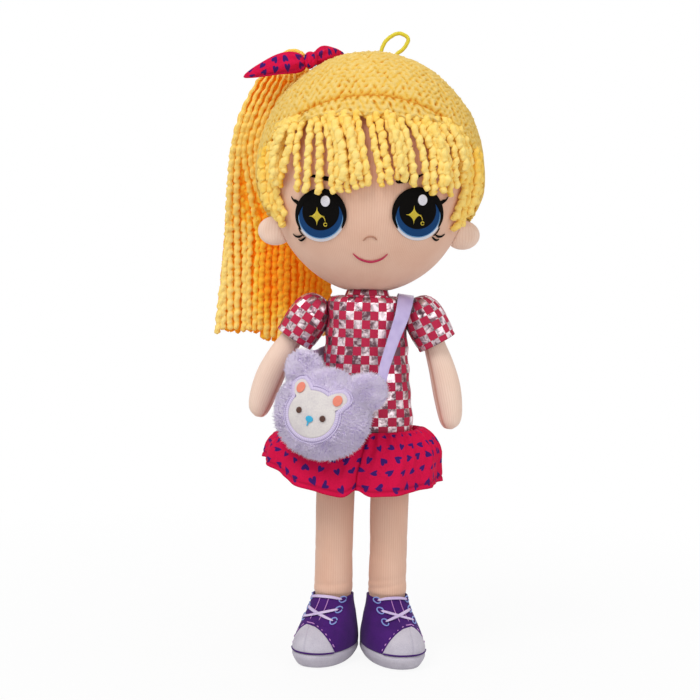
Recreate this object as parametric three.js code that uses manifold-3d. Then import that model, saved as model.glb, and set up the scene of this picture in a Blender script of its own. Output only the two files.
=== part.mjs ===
/**
 * A stuffed rag doll: a big flattened head with a knitted hair cap, fringe and side ponytail,
 * a checked dress with a gathered skirt, sewn-on sneakers and a plush bag on a ribbon strap.
 *
 * Units are millimetres and +Z is up. The doll faces -Y, so its right hand is on the -X side.
 * Every piece is a closed solid of its own, kept a small seam gap away from its neighbours.
 */
import * as THREE from "three";
import { mergeVertices } from "three/addons/utils/BufferGeometryUtils.js";
import Module from "manifold-3d";

const wasm = await Module();
wasm.setup();

// Overall
const SEAM_GAP = 0.35; // between two pieces that touch
const CLOTH = 1.2; // thickness of the dress fabric with its lining

// Head, measured from the widest level of the face
const HEAD = { centreZ: 311, halfWidth: 65, halfDepth: 50, chin: 76, crown: 70, sides: 36, rows: 18 };
const CAP = { halfWidth: 73.5, halfDepth: 57, chin: 78, crown: 78 };
const HAIRLINE = { sideZ: 297, rise: 1.33 }; // the cap ends on the plane z = sideZ - rise * y
const FRINGE = { strands: 25, bandThick: 7.2, strandThick: 4.2, groove: 0.5, topHalf: 50, endHalf: 60, endZ: 299 };
const EAR = { x: 60, y: -2, z: 273.5, halfWidth: 11.2, halfDepth: 4.6, halfHeight: 9.4 };
const EYE = { x: 30, z: 285.5, radius: 16, thick: 1.2 };
const LOOP = { diameter: 2.6, sides: 8, steps: 14 };

// Neck, shoulders and hips: the places that the body bends at
const NECK = { z: 230.5, radius: 13.4 };
const SHOULDER = { x: 36, z: 221, radius: 13 };
const HIP = { x: 17.6, z: 117, radius: 12.3 };

// The dress's bound neck edge lies round the neck, between these gaps to its surface
const NECKLINE_IN = 0.35;
const NECKLINE_OUT = 1.3;

// Limbs
const ARM = { length: 76, section: 0.92 };
const ARM_POSES = {
  right: { arm: 27, sleeve: 33, bow: 4.5 },
  left: { arm: 16, sleeve: 29, bow: 3.5 },
};
const SLEEVE = { length: 20, hem: 13, wall: 1.4 };
const ANKLE_Z = 39;
const SHOE = {
  splay: 17,
  toe: 48,
  heel: -16,
  halfWidth: 18.6,
  inward: 0.9,
  soleThick: 9.5,
  capFrom: 24,
  capLean: 25,
  capOut: 2.5,
};

// Ponytail root and the bag's place on the doll
const TAIL_ROOT = { x: -60, y: 13, z: 371, radius: 10 };
const BOW = { x: -40, y: -2, z: 382.5, radius: 5 };
const BAG = { x: -25.5, y: -41, z: 160, yaw: -16, pitch: -12, roll: 17, halfWidth: 31, halfHeight: 28, halfThick: 11 };
const STRAP = { width: 10, thick: 0.8 };

const rad = THREE.MathUtils.degToRad;

/** A material with the colour, roughness and metalness of one kind of cloth or yarn. */
const cloth = (color, roughness = 0.9, metalness = 0) =>
  new THREE.MeshStandardMaterial({ color, roughness, metalness });

const SKIN = cloth(0xe3bb9f);
const CAP_YARN = cloth(0xf5d377);
const TAIL_YARN = cloth(0xf5c83c);
const DRESS = cloth(0xc92a56, 0.6, 0.25);
const SKIRT = cloth(0xdc1b50, 0.75);
const SATIN = cloth(0xb59fd9, 0.5);
const PLUSH = cloth(0xc7bcdd, 1);
const FACE_FELT = cloth(0xe0dad6);
const CANVAS = cloth(0x4b1c74, 0.7);
const SOLE_FELT = cloth(0xd5d0dc, 0.7);
const CORD = cloth(0xe2d22c, 0.6);
const THREAD_BLUE = cloth(0x1f5fa0, 0.6);
const THREAD_RED = cloth(0xc0204a, 0.6);

/** The geometry as a solid that can be joined and cut. */
function solid(geometry) {
  const bare = geometry.index ? geometry.toNonIndexed() : geometry.clone();
  bare.deleteAttribute("normal");
  bare.deleteAttribute("uv");
  const merged = mergeVertices(bare, 1e-4);
  return new wasm.Manifold(
    new wasm.Mesh({
      numProp: 3,
      vertProperties: new Float32Array(merged.attributes.position.array),
      triVerts: new Uint32Array(merged.index.array),
    }),
  );
}

/** The solid's faces as a three.js geometry. */
function faces(body) {
  const { vertProperties, triVerts, numProp } = body.getMesh();
  const places = new Float32Array((vertProperties.length / numProp) * 3);
  for (let i = 0; i < places.length / 3; i++)
    places.set(vertProperties.subarray(i * numProp, i * numProp + 3), i * 3);
  const geometry = new THREE.BufferGeometry();
  geometry.setAttribute("position", new THREE.BufferAttribute(places, 3));
  geometry.setIndex(new THREE.BufferAttribute(new Uint32Array(triVerts), 1));
  geometry.computeVertexNormals();
  return geometry;
}

const join = (...parts) => faces(parts.map(solid).reduce((a, b) => a.add(b)));
const cut = (base, ...tools) => faces(tools.map(solid).reduce((a, b) => a.subtract(b), solid(base)));
const common = (a, b) => faces(solid(a).intersect(solid(b)));

/** One closed outline at height z: a rounded box that is an ellipse at power 2. */
function outline(halfWidth, halfDepth, z, { x = 0, y = 0, sides = 32, power = 2 } = {}) {
  return Array.from({ length: sides }, (_, i) => {
    const angle = (2 * Math.PI * i) / sides;
    const soft = (v) => Math.sign(v) * Math.abs(v) ** (2 / power);
    return new THREE.Vector3(x + halfWidth * soft(Math.cos(angle)), y + halfDepth * soft(Math.sin(angle)), z);
  });
}

/** Faces between rings of equal length, in order; `closed` also joins the last ring to the first. */
function skin(rings, closed = false) {
  const sides = rings[0].length;
  const points = rings.flat();
  const index = [];
  const spans = closed ? rings.length : rings.length - 1;
  for (let r = 0; r < spans; r++) {
    const low = r * sides;
    const high = ((r + 1) % rings.length) * sides;
    for (let i = 0; i < sides; i++) {
      const next = (i + 1) % sides;
      index.push(low + i, low + next, high + next, low + i, high + next, high + i);
    }
  }
  if (!closed) {
    for (const [ring, flip] of [
      [0, true],
      [rings.length - 1, false],
    ]) {
      const centre = rings[ring].reduce((sum, p) => sum.add(p), new THREE.Vector3()).divideScalar(sides);
      const c = points.push(centre) - 1;
      for (let i = 0; i < sides; i++) {
        const a = ring * sides + i;
        const b = ring * sides + ((i + 1) % sides);
        index.push(c, flip ? b : a, flip ? a : b);
      }
    }
  }
  const geometry = new THREE.BufferGeometry().setFromPoints(points);
  geometry.setIndex(index);
  geometry.computeVertexNormals();
  return geometry;
}

/** A stuffed form: rows of [half-width, half-depth, z] from the bottom up, made smooth between. */
function stuffed(rows, { steps = 16, sides = 28, power = 2, grow = 0, bend = () => [0, 0] } = {}) {
  const curve = new THREE.CatmullRomCurve3(rows.map((row) => new THREE.Vector3(...row)), false, "catmullrom", 0.5);
  return skin(
    curve.getPoints(steps).map(({ x: a, y: b, z }) => {
      const [x, y] = bend(z);
      return outline(Math.max(a, 0.05) + grow, Math.max(b, 0.05) + grow, z, { x, y, sides, power });
    }),
  );
}

/** An ellipsoid with its poles on Z. */
function ball(a, b, c, x, y, z, sides = 24, rows = 14) {
  return new THREE.SphereGeometry(1, sides, rows).rotateX(Math.PI / 2).scale(a, b, c).translate(x, y, z);
}

/** An egg about the head's centre, with its own height above and below the widest level. */
function egg({ halfWidth, halfDepth, chin, crown }, grow = 0) {
  const geometry = ball(halfWidth + grow, halfDepth + grow, 1, 0, 0, 0, HEAD.sides, HEAD.rows);
  const places = geometry.attributes.position;
  for (let i = 0; i < places.count; i++) {
    const z = places.getZ(i);
    places.setZ(i, HEAD.centreZ + z * ((z > 0 ? crown : chin) + grow));
  }
  return geometry;
}

/** The y of the head's front, `grow` outside its surface, at a place seen from the front. */
function faceY(x, z, grow) {
  const up = z > HEAD.centreZ ? HEAD.crown : HEAD.chin;
  const inside = 1 - (x / (HEAD.halfWidth + grow)) ** 2 - ((z - HEAD.centreZ) / (up + grow)) ** 2;
  return -(HEAD.halfDepth + grow) * Math.sqrt(Math.max(inside, 0));
}

/** A large block that holds everything above the hairline's plane, moved along its normal. */
function aboveHairline(offset) {
  const slope = Math.atan(HAIRLINE.rise);
  return new THREE.BoxGeometry(300, 300, 300)
    .translate(0, 0, 150 + offset)
    .rotateX(-slope)
    .translate(0, 0, HAIRLINE.sideZ);
}

/** A round cord along a curve. */
function cordAlong(curve, radius, steps, sides) {
  const section = new THREE.Shape(
    Array.from({ length: sides }, (_, i) => {
      const angle = (2 * Math.PI * i) / sides;
      return new THREE.Vector2(radius * Math.cos(angle), radius * Math.sin(angle));
    }),
  );
  return new THREE.ExtrudeGeometry(section, { steps, extrudePath: curve });
}

/** A smooth curve through [x, y, z] places. */
const through = (places) => new THREE.CatmullRomCurve3(places.map((p) => new THREE.Vector3(...p)));

/** A named mesh. */
function piece(name, geometry, material) {
  const mesh = new THREE.Mesh(geometry, material);
  mesh.name = name;
  return mesh;
}

const neckBall = (gap, sides = 18) => {
  const r = NECK.radius + gap;
  return ball(r, r, r, 0, 0, NECK.z, sides, 10);
};
const shoulderBall = (side, gap) => {
  const r = SHOULDER.radius + gap;
  return ball(r, r, r, side * SHOULDER.x, 0, SHOULDER.z, 18, 10);
};

/** The head: a flattened egg with the socket that the neck sits in. */
function head() {
  return piece("head", cut(egg(HEAD), neckBall(NECKLINE_OUT + SEAM_GAP)), SKIN);
}

/** A small padded half disc sewn into the side seam of the head. */
function ear(name, side) {
  const pad = ball(EAR.halfWidth, EAR.halfDepth, EAR.halfHeight, side * EAR.x, EAR.y, EAR.z, 16, 9);
  return piece(name, cut(pad, egg(HEAD, SEAM_GAP)), SKIN);
}

/** An embroidered eye: a thin round pad that follows the face. */
function eye(name, side) {
  const pad = cut(egg(HEAD, SEAM_GAP + EYE.thick), egg(HEAD, SEAM_GAP));
  const round = new THREE.CylinderGeometry(EYE.radius, EYE.radius, 60, 32).translate(side * EYE.x, -45, EYE.z);
  return piece(name, common(pad, round), THREAD_BLUE);
}

/** A line of embroidery on the face: a thin cord through places seen from the front. */
function stitchLine(name, places, radius, material) {
  const onFace = places.map(([x, z]) => [x, faceY(x, z, SEAM_GAP + radius), z]);
  return piece(name, cordAlong(through(onFace), radius, 12, 5), material);
}

/** The knitted cap of hair: a shell from the front hairline down to the nape. */
function hairCap() {
  const shell = cut(egg(CAP), egg(HEAD, SEAM_GAP));
  return piece("hair_cap", common(shell, aboveHairline(0.3)), CAP_YARN);
}

/** The fringe: strands side by side that hang from the cap's front edge and fan out. */
function fringe() {
  const columns = FRINGE.strands * 2;
  const rows = 4;
  const place = (column, row, outside) => {
    const across = (2 * column) / columns - 1;
    const strand = Math.floor(column / 2);
    const fall = row / rows;
    const groove = column % 2 === 0 ? 1 - FRINGE.groove : 1;
    const thick = THREE.MathUtils.lerp(FRINGE.bandThick, FRINGE.strandThick * groove, Math.min(1, fall * 4));
    const under = SEAM_GAP + 1.6 * THREE.MathUtils.smoothstep(fall, 0.3, 0.75);
    const grow = outside ? under + thick : under;
    const ragged = 2.2 * Math.sin(strand * 2.4) + 1.1 * Math.sin(strand * 5.1);
    const x = across * THREE.MathUtils.lerp(FRINGE.topHalf, FRINGE.endHalf, fall);
    const z = THREE.MathUtils.lerp(364 - 26 * across ** 2, FRINGE.endZ + ragged + 6 * across ** 2, fall);
    return new THREE.Vector3(x, faceY(x * (outside ? 1 : 0.985), z, grow), z);
  };
  const rings = Array.from({ length: columns + 1 }, (_, column) => [
    ...Array.from({ length: rows + 1 }, (_, row) => place(column, row, true)),
    ...Array.from({ length: rows + 1 }, (_, row) => place(column, rows - row, false)),
  ]);
  return piece("fringe", cut(skin(rings), aboveHairline(-0.1), egg(HEAD, SEAM_GAP * 0.8)), CAP_YARN);
}

/** A short lock that hangs from the cap in front of the ear. */
function sideLock(name, side) {
  const lock = stuffed(
    [
      [0.3, 0.5, 275],
      [3.4, 4.2, 281],
      [5.2, 5.6, 294],
      [5.4, 6.4, 308],
      [5, 6.6, 322],
    ],
    { steps: 8, sides: 12, bend: () => [side * 66.5, -17] },
  );
  return piece(name, cut(lock, egg(HEAD, SEAM_GAP), aboveHairline(-0.1)), CAP_YARN);
}

/** The ribbon tie that gathers the ponytail against the cap. */
function hairTie() {
  const ring = new THREE.TorusGeometry(8.2, 3.2, 8, 18).rotateX(Math.PI / 2).rotateY(rad(-42)).translate(-53, 11, 377.5);
  const r = TAIL_ROOT.radius + SEAM_GAP;
  return piece(
    "hair_tie",
    cut(ring, egg(CAP, SEAM_GAP), ball(r, r, r, TAIL_ROOT.x, TAIL_ROOT.y, TAIL_ROOT.z, 18, 10)),
    CAP_YARN,
  );
}

/** The ponytail: one fan of strands that arches from its root and spreads down behind the shoulder. */
function ponytail() {
  // outer edge, inner edge, centre depth, half thickness, height
  const levels = [
    [-101.8, -22, 42, 6.6, 205],
    [-100, -22, 42, 7.4, 228],
    [-98, -27, 42, 8, 250],
    [-96, -49, 41, 8, 270],
    [-94, -66, 33, 9, 300],
    [-91.5, -68, 25, 9, 328],
    [-85, -60, 18, 9, 352],
    [-73, -54, 13.5, 9, 370],
    [-66, -54.5, 13, 6, 378.5],
  ];
  const spine = new THREE.CatmullRomCurve3(levels.map(([o, i, y, , z]) => new THREE.Vector3((o + i) / 2, y, z)));
  const size = new THREE.CatmullRomCurve3(levels.map(([o, i, , d, z]) => new THREE.Vector3((i - o) / 2, d, z)));
  const rings = Array.from({ length: 13 }, (_, k) => {
    const centre = spine.getPoint(k / 12);
    const half = size.getPoint(k / 12);
    return Array.from({ length: 40 }, (_, i) => {
      const angle = (2 * Math.PI * i) / 40;
      const ridge = 1 + (i % 2 ? 0.05 : -0.05);
      const soft = (v) => Math.sign(v) * Math.abs(v) ** 0.72;
      return new THREE.Vector3(
        centre.x + half.x * soft(Math.cos(angle)),
        centre.y + half.y * ridge * soft(Math.sin(angle)),
        centre.z,
      );
    });
  });
  return piece("ponytail", cut(skin(rings), egg(CAP, SEAM_GAP)), TAIL_YARN);
}

/** One loop of the bow: a puffed leaf from the knot to its tip. */
function bowLoop(name, reach, height, thick) {
  const length = reach.length();
  const along = reach.clone().normalize();
  const across = new THREE.Vector3(0, 0, 1).addScaledVector(along, -along.z).normalize();
  const out = new THREE.Vector3().crossVectors(across, along);
  const knot = new THREE.Vector3(BOW.x, BOW.y, BOW.z);
  const rings = Array.from({ length: 11 }, (_, k) => {
    const t = k / 10;
    const puff = 0.06 + 0.94 * Math.sin(Math.PI * Math.min(1, t ** 0.62)) ** 0.8;
    return Array.from({ length: 12 }, (_, i) => {
      const angle = (2 * Math.PI * i) / 12;
      return knot
        .clone()
        .addScaledVector(along, 3 + t * (length - 3))
        .addScaledVector(out, thick * puff * Math.cos(angle))
        .addScaledVector(across, height * puff * Math.sin(angle));
    });
  });
  const r = BOW.radius + SEAM_GAP;
  return piece(name, cut(skin(rings), ball(r, r * 1.1, r * 1.2, BOW.x, BOW.y, BOW.z, 14, 8), egg(CAP, SEAM_GAP)), SKIRT);
}

/** The wrapped middle of the bow. */
function bowKnot() {
  const r = BOW.radius;
  return piece("bow_knot", cut(ball(r, r * 1.1, r * 1.2, BOW.x, BOW.y, BOW.z, 14, 8), egg(CAP, SEAM_GAP)), SKIRT);
}

/** The hanging loop: a cord whose two ends are sewn into the top of the cap. */
function hangLoop() {
  const route = through([
    [4, 0, 384],
    [5, 0, 389.6],
    [8.2, 0, 396.4],
    [15.6, 0, 401],
    [22, 0, 398],
    [19.6, 0, 391.8],
    [14.6, 0, 387.4],
    [12.5, 0, 382.5],
  ]);
  const cord = cordAlong(route, LOOP.diameter / 2, LOOP.steps, LOOP.sides);
  return piece("hang_loop", cut(cord, egg(CAP, SEAM_GAP)), CORD);
}

/** Half-width, half-depth and height of the stuffed body, from the crotch to the shoulders. */
const TORSO_ROWS = [
  [7, 7, 120.5],
  [23, 16, 124],
  [29, 21, 133],
  [30.2, 23.2, 146],
  [28.2, 22.6, 170],
  [25.8, 21.2, 192],
  [24.4, 19.8, 212],
  [24, 18.6, 223],
  [22.6, 16.6, 230],
  [18.5, 13.5, 232.6],
];

const torsoForm = (grow) => stuffed(TORSO_ROWS, { steps: 11, sides: 26, power: 2.4, grow });

/** The stuffed body, hollowed where the neck, arms and legs are sewn on. */
function torso() {
  const grooves = [-1, 1].map((side) =>
    new THREE.CylinderGeometry(HIP.radius + 0.4, HIP.radius + 0.4, 90, 36).translate(side * HIP.x, 0, HIP.z),
  );
  return piece(
    "torso",
    cut(torsoForm(0), neckBall(NECKLINE_OUT + SEAM_GAP), shoulderBall(-1, 0.85), shoulderBall(1, 0.85), ...grooves),
    SKIN,
  );
}

/** The bodice: a fitted tube of cloth with a round neck and two armholes. */
function bodice() {
  const shell = cut(torsoForm(SEAM_GAP + CLOTH), torsoForm(SEAM_GAP));
  const below = new THREE.BoxGeometry(200, 200, 100).translate(0, 0, 144.2 - 50);
  return piece("bodice", cut(shell, below, neckBall(NECKLINE_OUT + SEAM_GAP), shoulderBall(-1, 0.85), shoulderBall(1, 0.85)), DRESS);
}

/** The gathered skirt: a band of cloth that puffs out under the bodice and falls in soft folds. */
function skirt() {
  const rows = [
    [32.4, 25.4, 143.2],
    [37, 28.5, 146.5],
    [45, 33.5, 141.8],
    [53, 38.5, 131.5],
    [56, 41.2, 120.5],
    [57.5, 42, 107.5],
  ];
  const curve = new THREE.CatmullRomCurve3(rows.map((row) => new THREE.Vector3(...row)));
  const sides = 44;
  const levels = 5;
  const ringAt = (k, inset) => {
    const level = curve.getPoint(k / levels);
    const fallen = THREE.MathUtils.smoothstep(k / levels, 0.15, 1);
    return Array.from({ length: sides }, (_, i) => {
      const angle = (2 * Math.PI * i) / sides;
      const side = Math.cos(angle);
      const fold = 1 + fallen * (0.03 * Math.sin(11 * angle + 0.6) + 0.012 * Math.sin(5 * angle));
      const lift = fallen * (13 * side ** 2 - 6.5 * side * Math.abs(side));
      const tuck = 1.6 * (1 - fallen) * side ** 2 * Math.min(1, k);
      return new THREE.Vector3(
        -7.5 * fallen + (level.x - inset) * fold * side,
        (level.y - inset) * fold * Math.sin(angle),
        level.z + lift + tuck - (k < 3 ? inset * (k === 0 ? 0 : 0.9) : 0),
      );
    });
  };
  const outside = Array.from({ length: levels + 1 }, (_, k) => ringAt(levels - k, 0));
  const inside = Array.from({ length: levels + 1 }, (_, k) => ringAt(k, CLOTH));
  return piece("skirt", skin([...outside, ...inside], true), SKIRT);
}

/** The neck: a short stuffed plug with rounded ends, between the two sockets. */
function neck() {
  return piece("neck", neckBall(0), SKIN);
}

/** The dress's bound neck edge: a narrow band of cloth that lies round the neck. */
function neckline() {
  const shell = cut(neckBall(NECKLINE_OUT), neckBall(NECKLINE_IN));
  const level = new THREE.BoxGeometry(60, 60, 14).translate(0, 0, NECK.z + 0.5);
  return piece("neckline", common(shell, level), DRESS);
}

/** A tapered stuffed arm with a rounded mitten end, hung from the shoulder. */
function arm(name, side, { bow }) {
  const rows = [
    [0.6, 0.6, -ARM.length],
    [5.4, 5.4, 2.6 - ARM.length],
    [8, 8, -66],
    [9.2, 9.2, -50],
    [8.2, 8.2, -32],
    [7.1, 7.1, -19],
    [8.6, 8.6, -9],
    [10.9, 10.9, 0],
    [8.6, 8.6, 7],
    [0.6, 0.6, 11],
  ];
  const geometry = stuffed(rows, {
    steps: 15,
    sides: 16,
    bend: (z) => [side * bow * Math.sin(Math.PI * THREE.MathUtils.clamp(-z / ARM.length, 0, 1)), 0],
  });
  return piece(name, geometry.scale(1, ARM.section, 1), SKIN);
}

/** A short puffed sleeve, open at its hem, with a round crown in the armhole. */
function sleeve(name) {
  const form = (r, end) => {
    const rows = [
      [SLEEVE.hem - SHOULDER.radius + r - 0.2, SLEEVE.hem - SHOULDER.radius + r - 0.2, -end],
      [r + 0.5, r + 0.5, -9],
      [r, r, 0],
      [r * 0.8, r * 0.8, r * 0.6],
      [r * 0.44, r * 0.44, r * 0.898],
      [0.4, 0.4, r],
    ];
    return stuffed(rows, { steps: 8, sides: 16 });
  };
  const inner = SHOULDER.radius - SLEEVE.wall;
  const hollow = form(inner, SLEEVE.length);
  const mouth = new THREE.CylinderGeometry(inner - 0.25, inner - 0.25, 8, 16).rotateX(Math.PI / 2);
  return piece(
    name,
    cut(form(SHOULDER.radius, SLEEVE.length), hollow, mouth.translate(0, 0, -SLEEVE.length)),
    DRESS,
  );
}

/** An arm and its sleeve, turned about the shoulder to the angle at which they hang. */
function armGroup(word, side) {
  const pose = ARM_POSES[word];
  const group = new THREE.Group();
  group.position.set(side * SHOULDER.x, 0, SHOULDER.z);
  const limb = arm(`arm_${word}`, side, pose);
  limb.rotation.y = -side * rad(pose.arm);
  const cover = sleeve(`sleeve_${word}`);
  cover.rotation.y = -side * rad(pose.sleeve);
  group.add(limb, cover);
  return group;
}

/** Half of the doll's foot as seen from above at one height: length, width and where its middle is. */
function shoeOutline(side, z) {
  const rows = [
    [SHOE.toe - 2.6, SHOE.heel + 2.4, SHOE.halfWidth - 3.4, SHOE.inward, 0],
    [SHOE.toe + 0.4, SHOE.heel - 0.8, SHOE.halfWidth - 0.5, SHOE.inward, 4.75],
    [SHOE.toe + 0.8, SHOE.heel - 1, SHOE.halfWidth, SHOE.inward, 8],
    [SHOE.toe - 1.6, SHOE.heel - 0.6, SHOE.halfWidth - 0.2, SHOE.inward, 14],
    [39.5, SHOE.heel, SHOE.halfWidth - 1.2, SHOE.inward, 20],
    [30, -15.2, 15.8, 0.6, 26],
    [19.5, -13.8, 13.9, 0.3, 33],
    [13.4, -13.1, 13, 0, ANKLE_Z],
  ];
  const upper = rows.find((row) => row[4] >= z) ?? rows.at(-1);
  const lower = rows[Math.max(0, rows.indexOf(upper) - 1)];
  const t = upper === lower ? 0 : (z - lower[4]) / (upper[4] - lower[4]);
  const [toe, heel, half, inward] = [0, 1, 2, 3].map((k) => THREE.MathUtils.lerp(lower[k], upper[k], t));
  const middle = -(toe + heel) / 2;
  return outline(half, (toe - heel) / 2, z, { x: -side * inward, y: middle, sides: 24, power: 2.25 });
}

const shoeForm = (side, from, to, steps) =>
  skin(Array.from({ length: steps + 1 }, (_, k) => shoeOutline(side, THREE.MathUtils.lerp(from, to, k / steps))));

/** The three sewn pieces of one sneaker: sole, toe cap and canvas upper, in the foot's own frame. */
function shoe(word, side) {
  const group = new THREE.Group();
  group.rotation.z = side * rad(SHOE.splay);
  const upperForm = shoeForm(side, SHOE.soleThick + SEAM_GAP, ANKLE_Z, 5);
  const front = (grow) =>
    new THREE.CylinderGeometry(30 + grow, 30 + grow, 110, 30)
      .rotateX(Math.PI / 2)
      .translate(0, -30, 0)
      .rotateX(rad(SHOE.capLean))
      .translate(side * SHOE.capOut, -SHOE.capFrom, SHOE.soleThick);
  const recess = new THREE.CylinderGeometry(HIP.radius - 0.3, HIP.radius - 0.3, 12, 28)
    .rotateX(Math.PI / 2)
    .translate(0, 0, ANKLE_Z + 1);
  group.add(
    piece(`sole_${word}`, shoeForm(side, 0, SHOE.soleThick, 2), SOLE_FELT),
    piece(`toe_cap_${word}`, common(upperForm, front(0)), SOLE_FELT),
    piece(`shoe_${word}`, cut(upperForm, front(SEAM_GAP), recess), CANVAS),
  );
  return group;
}

/** A stuffed leg with a domed top that sits under the body, and its sneaker. */
function legGroup(word, side) {
  const rows = [
    [11.5, 11.5, ANKLE_Z - 4.6],
    [11.6, 11.6, ANKLE_Z + 8],
    [12, 12, 70],
    [12.4, 12.4, 95],
    [12.3, 12.3, HIP.z],
    [10.6, 10.6, HIP.z + 6.2],
    [7, 7, HIP.z + 10.1],
    [0.5, 0.5, HIP.z + HIP.radius],
  ];
  const group = new THREE.Group();
  group.position.x = side * HIP.x;
  group.add(piece(`leg_${word}`, stuffed(rows, { steps: 13, sides: 20 }), SKIN), shoe(word, side));
  return group;
}

/** The plush bag: two furry panels with ear lobes and a small animal's face sewn on the front. */
function bag() {
  const group = new THREE.Group();
  group.position.set(BAG.x, BAG.y, BAG.z);
  group.rotation.set(rad(BAG.pitch), rad(BAG.roll), rad(BAG.yaw), "ZXY");
  const pouch = (grow) => ball(BAG.halfWidth + grow, BAG.halfThick + grow, BAG.halfHeight + grow, 0, 0, 0, 24, 10);
  const lobe = (side) => ball(11, 6.5, 11, side * 22.5, 0, 21.5, 14, 8);
  const plush = join(pouch(0), lobe(-1), lobe(1));
  const half = (y) => new THREE.BoxGeometry(120, 60, 120).translate(0, y, 0);
  group.add(
    piece("bag_front", cut(plush, half(30 - SEAM_GAP / 2)), PLUSH),
    piece("bag_back", cut(plush, half(-30 + SEAM_GAP / 2)), PLUSH),
  );
  const faceX = -3;
  const faceZ = -3;
  const disc = (x, z, r, rz = r) =>
    new THREE.CylinderGeometry(1, 1, 40, 18).scale(r, 1, rz).translate(faceX + x, -20, faceZ + z);
  const layer = (from, to) => cut(pouch(to), pouch(from));
  const felt = layer(SEAM_GAP, 1.5);
  const thread = layer(1.5 + SEAM_GAP, 2.8);
  group.add(
    piece("bag_face", common(felt, join(disc(0, 0, 15.2, 14.4), disc(-13, 13.4, 5.6), disc(13, 13.4, 5.6))), FACE_FELT),
    piece("bag_inner_ear_right", common(thread, disc(-13, 13.4, 2.9)), cloth(0xf58c72)),
    piece("bag_inner_ear_left", common(thread, disc(13, 13.4, 2.9)), cloth(0xf58c72)),
    piece("bag_eye_right", common(thread, disc(-8.2, -0.4, 1.9)), cloth(0x3a2018)),
    piece("bag_eye_left", common(thread, disc(8.4, -0.4, 1.9)), cloth(0x3a2018)),
    piece("bag_nose", common(thread, disc(0.4, -3.6, 2.5, 2)), cloth(0x2eb5e0)),
  );
  return group;
}

/** The satin strap: a flat ribbon from the bag over the left shoulder and back under the right arm. */
function strap() {
  // place on the ribbon's inner face, then the way its outer face looks
  const route = [
    [14.6, -42, 178, 0.1, -1, 0.1],
    [15, -34, 190, 0.25, -1, 0.25],
    [18.5, -25.2, 207, 0.45, -1, 0.25],
    [22, -20.6, 221, 0.4, -1, 0.45],
    [24.4, -11.2, 231.4, 0.25, -0.6, 1],
    [24.8, 0, 233.7, 0.12, 0, 1],
    [24, 11.2, 231.4, 0.25, 0.6, 1],
    [19.4, 21.6, 221, 0.3, 1, 0.4],
    [9, 25, 209, 0.15, 1, 0.1],
    [-6, 26, 201, -0.15, 1, 0],
    [-20, 22, 196, -0.6, 1, 0],
    [-28.6, 10, 193.5, -1, 0.4, 0],
    [-30.6, -4, 193, -1, -0.1, 0],
    [-33, -15, 193.5, -1, -0.2, 0.1],
    [-38, -24, 194.5, -0.9, -0.6, 0.2],
  ];
  const middle = through(route.map((row) => row.slice(0, 3)));
  const facing = through(route.map((row) => row.slice(3)));
  const steps = 34;
  const rings = Array.from({ length: steps + 1 }, (_, k) => {
    const t = k / steps;
    const along = middle.getTangent(t);
    const out = facing.getPoint(t);
    out.addScaledVector(along, -out.dot(along)).normalize();
    const across = new THREE.Vector3().crossVectors(along, out);
    const corner = (w, h) =>
      middle.getPoint(t).addScaledVector(across, (w * STRAP.width) / 2).addScaledVector(out, h * STRAP.thick);
    return [corner(1, 0), corner(0, 0), corner(-1, 0), corner(-1, 1), corner(0, 1), corner(1, 1)];
  });
  return piece("bag_strap", skin(rings), SATIN);
}

const doll = new THREE.Group();
doll.add(
  head(),
  ear("ear_right", -1),
  ear("ear_left", 1),
  eye("eye_right", -1),
  eye("eye_left", 1),
  stitchLine("nose", [[-3.4, 269], [0.8, 271.2], [5, 269]], 0.6, THREAD_RED),
  stitchLine("mouth", [[-9.8, 260.2], [-4.8, 256.6], [1, 255.2], [6.8, 256.6], [11.8, 260.2]], 0.85, THREAD_RED),
  hairCap(),
  fringe(),
  sideLock("side_lock_right", -1),
  sideLock("side_lock_left", 1),
  hairTie(),
  ponytail(),
  bowLoop("bow_loop_right", new THREE.Vector3(-42, -8, -12.5), 9, 4),
  bowLoop("bow_loop_left", new THREE.Vector3(21, 24, 7), 7.6, 3.8),
  bowKnot(),
  hangLoop(),
  neck(),
  neckline(),
  torso(),
  bodice(),
  skirt(),
  armGroup("right", -1),
  armGroup("left", 1),
  legGroup("right", -1),
  legGroup("left", 1),
  bag(),
  strap(),
);

// The origin is on the floor under the middle of the doll, measured without the hanging loop.
const extent = new THREE.Box3();
doll.updateMatrixWorld(true);
doll.traverse((object) => {
  if (object.isMesh && object.name !== "hang_loop") extent.expandByObject(object, true);
});
const middle = extent.getCenter(new THREE.Vector3());
doll.position.set(-middle.x, -middle.y, -extent.min.z);

export default doll;
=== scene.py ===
"""A stuffed rag doll with a knitted hair cap, a checked dress, sewn-on sneakers and a plush bag.

Sizes are in millimetres in the doll's own frame: the soles stand at z = 0, the doll faces -Y, and the
middle of its head is at x = 0 and y = 0. Every finished piece is moved once into the model's frame, in metres.
"""

import logging
import math
import random
from collections.abc import Callable, Sequence
from dataclasses import dataclass, field
from enum import Enum
from math import cos, pi, sin
from typing import Protocol

import bmesh
import bpy
from mathutils import Matrix, Vector, noise


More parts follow.
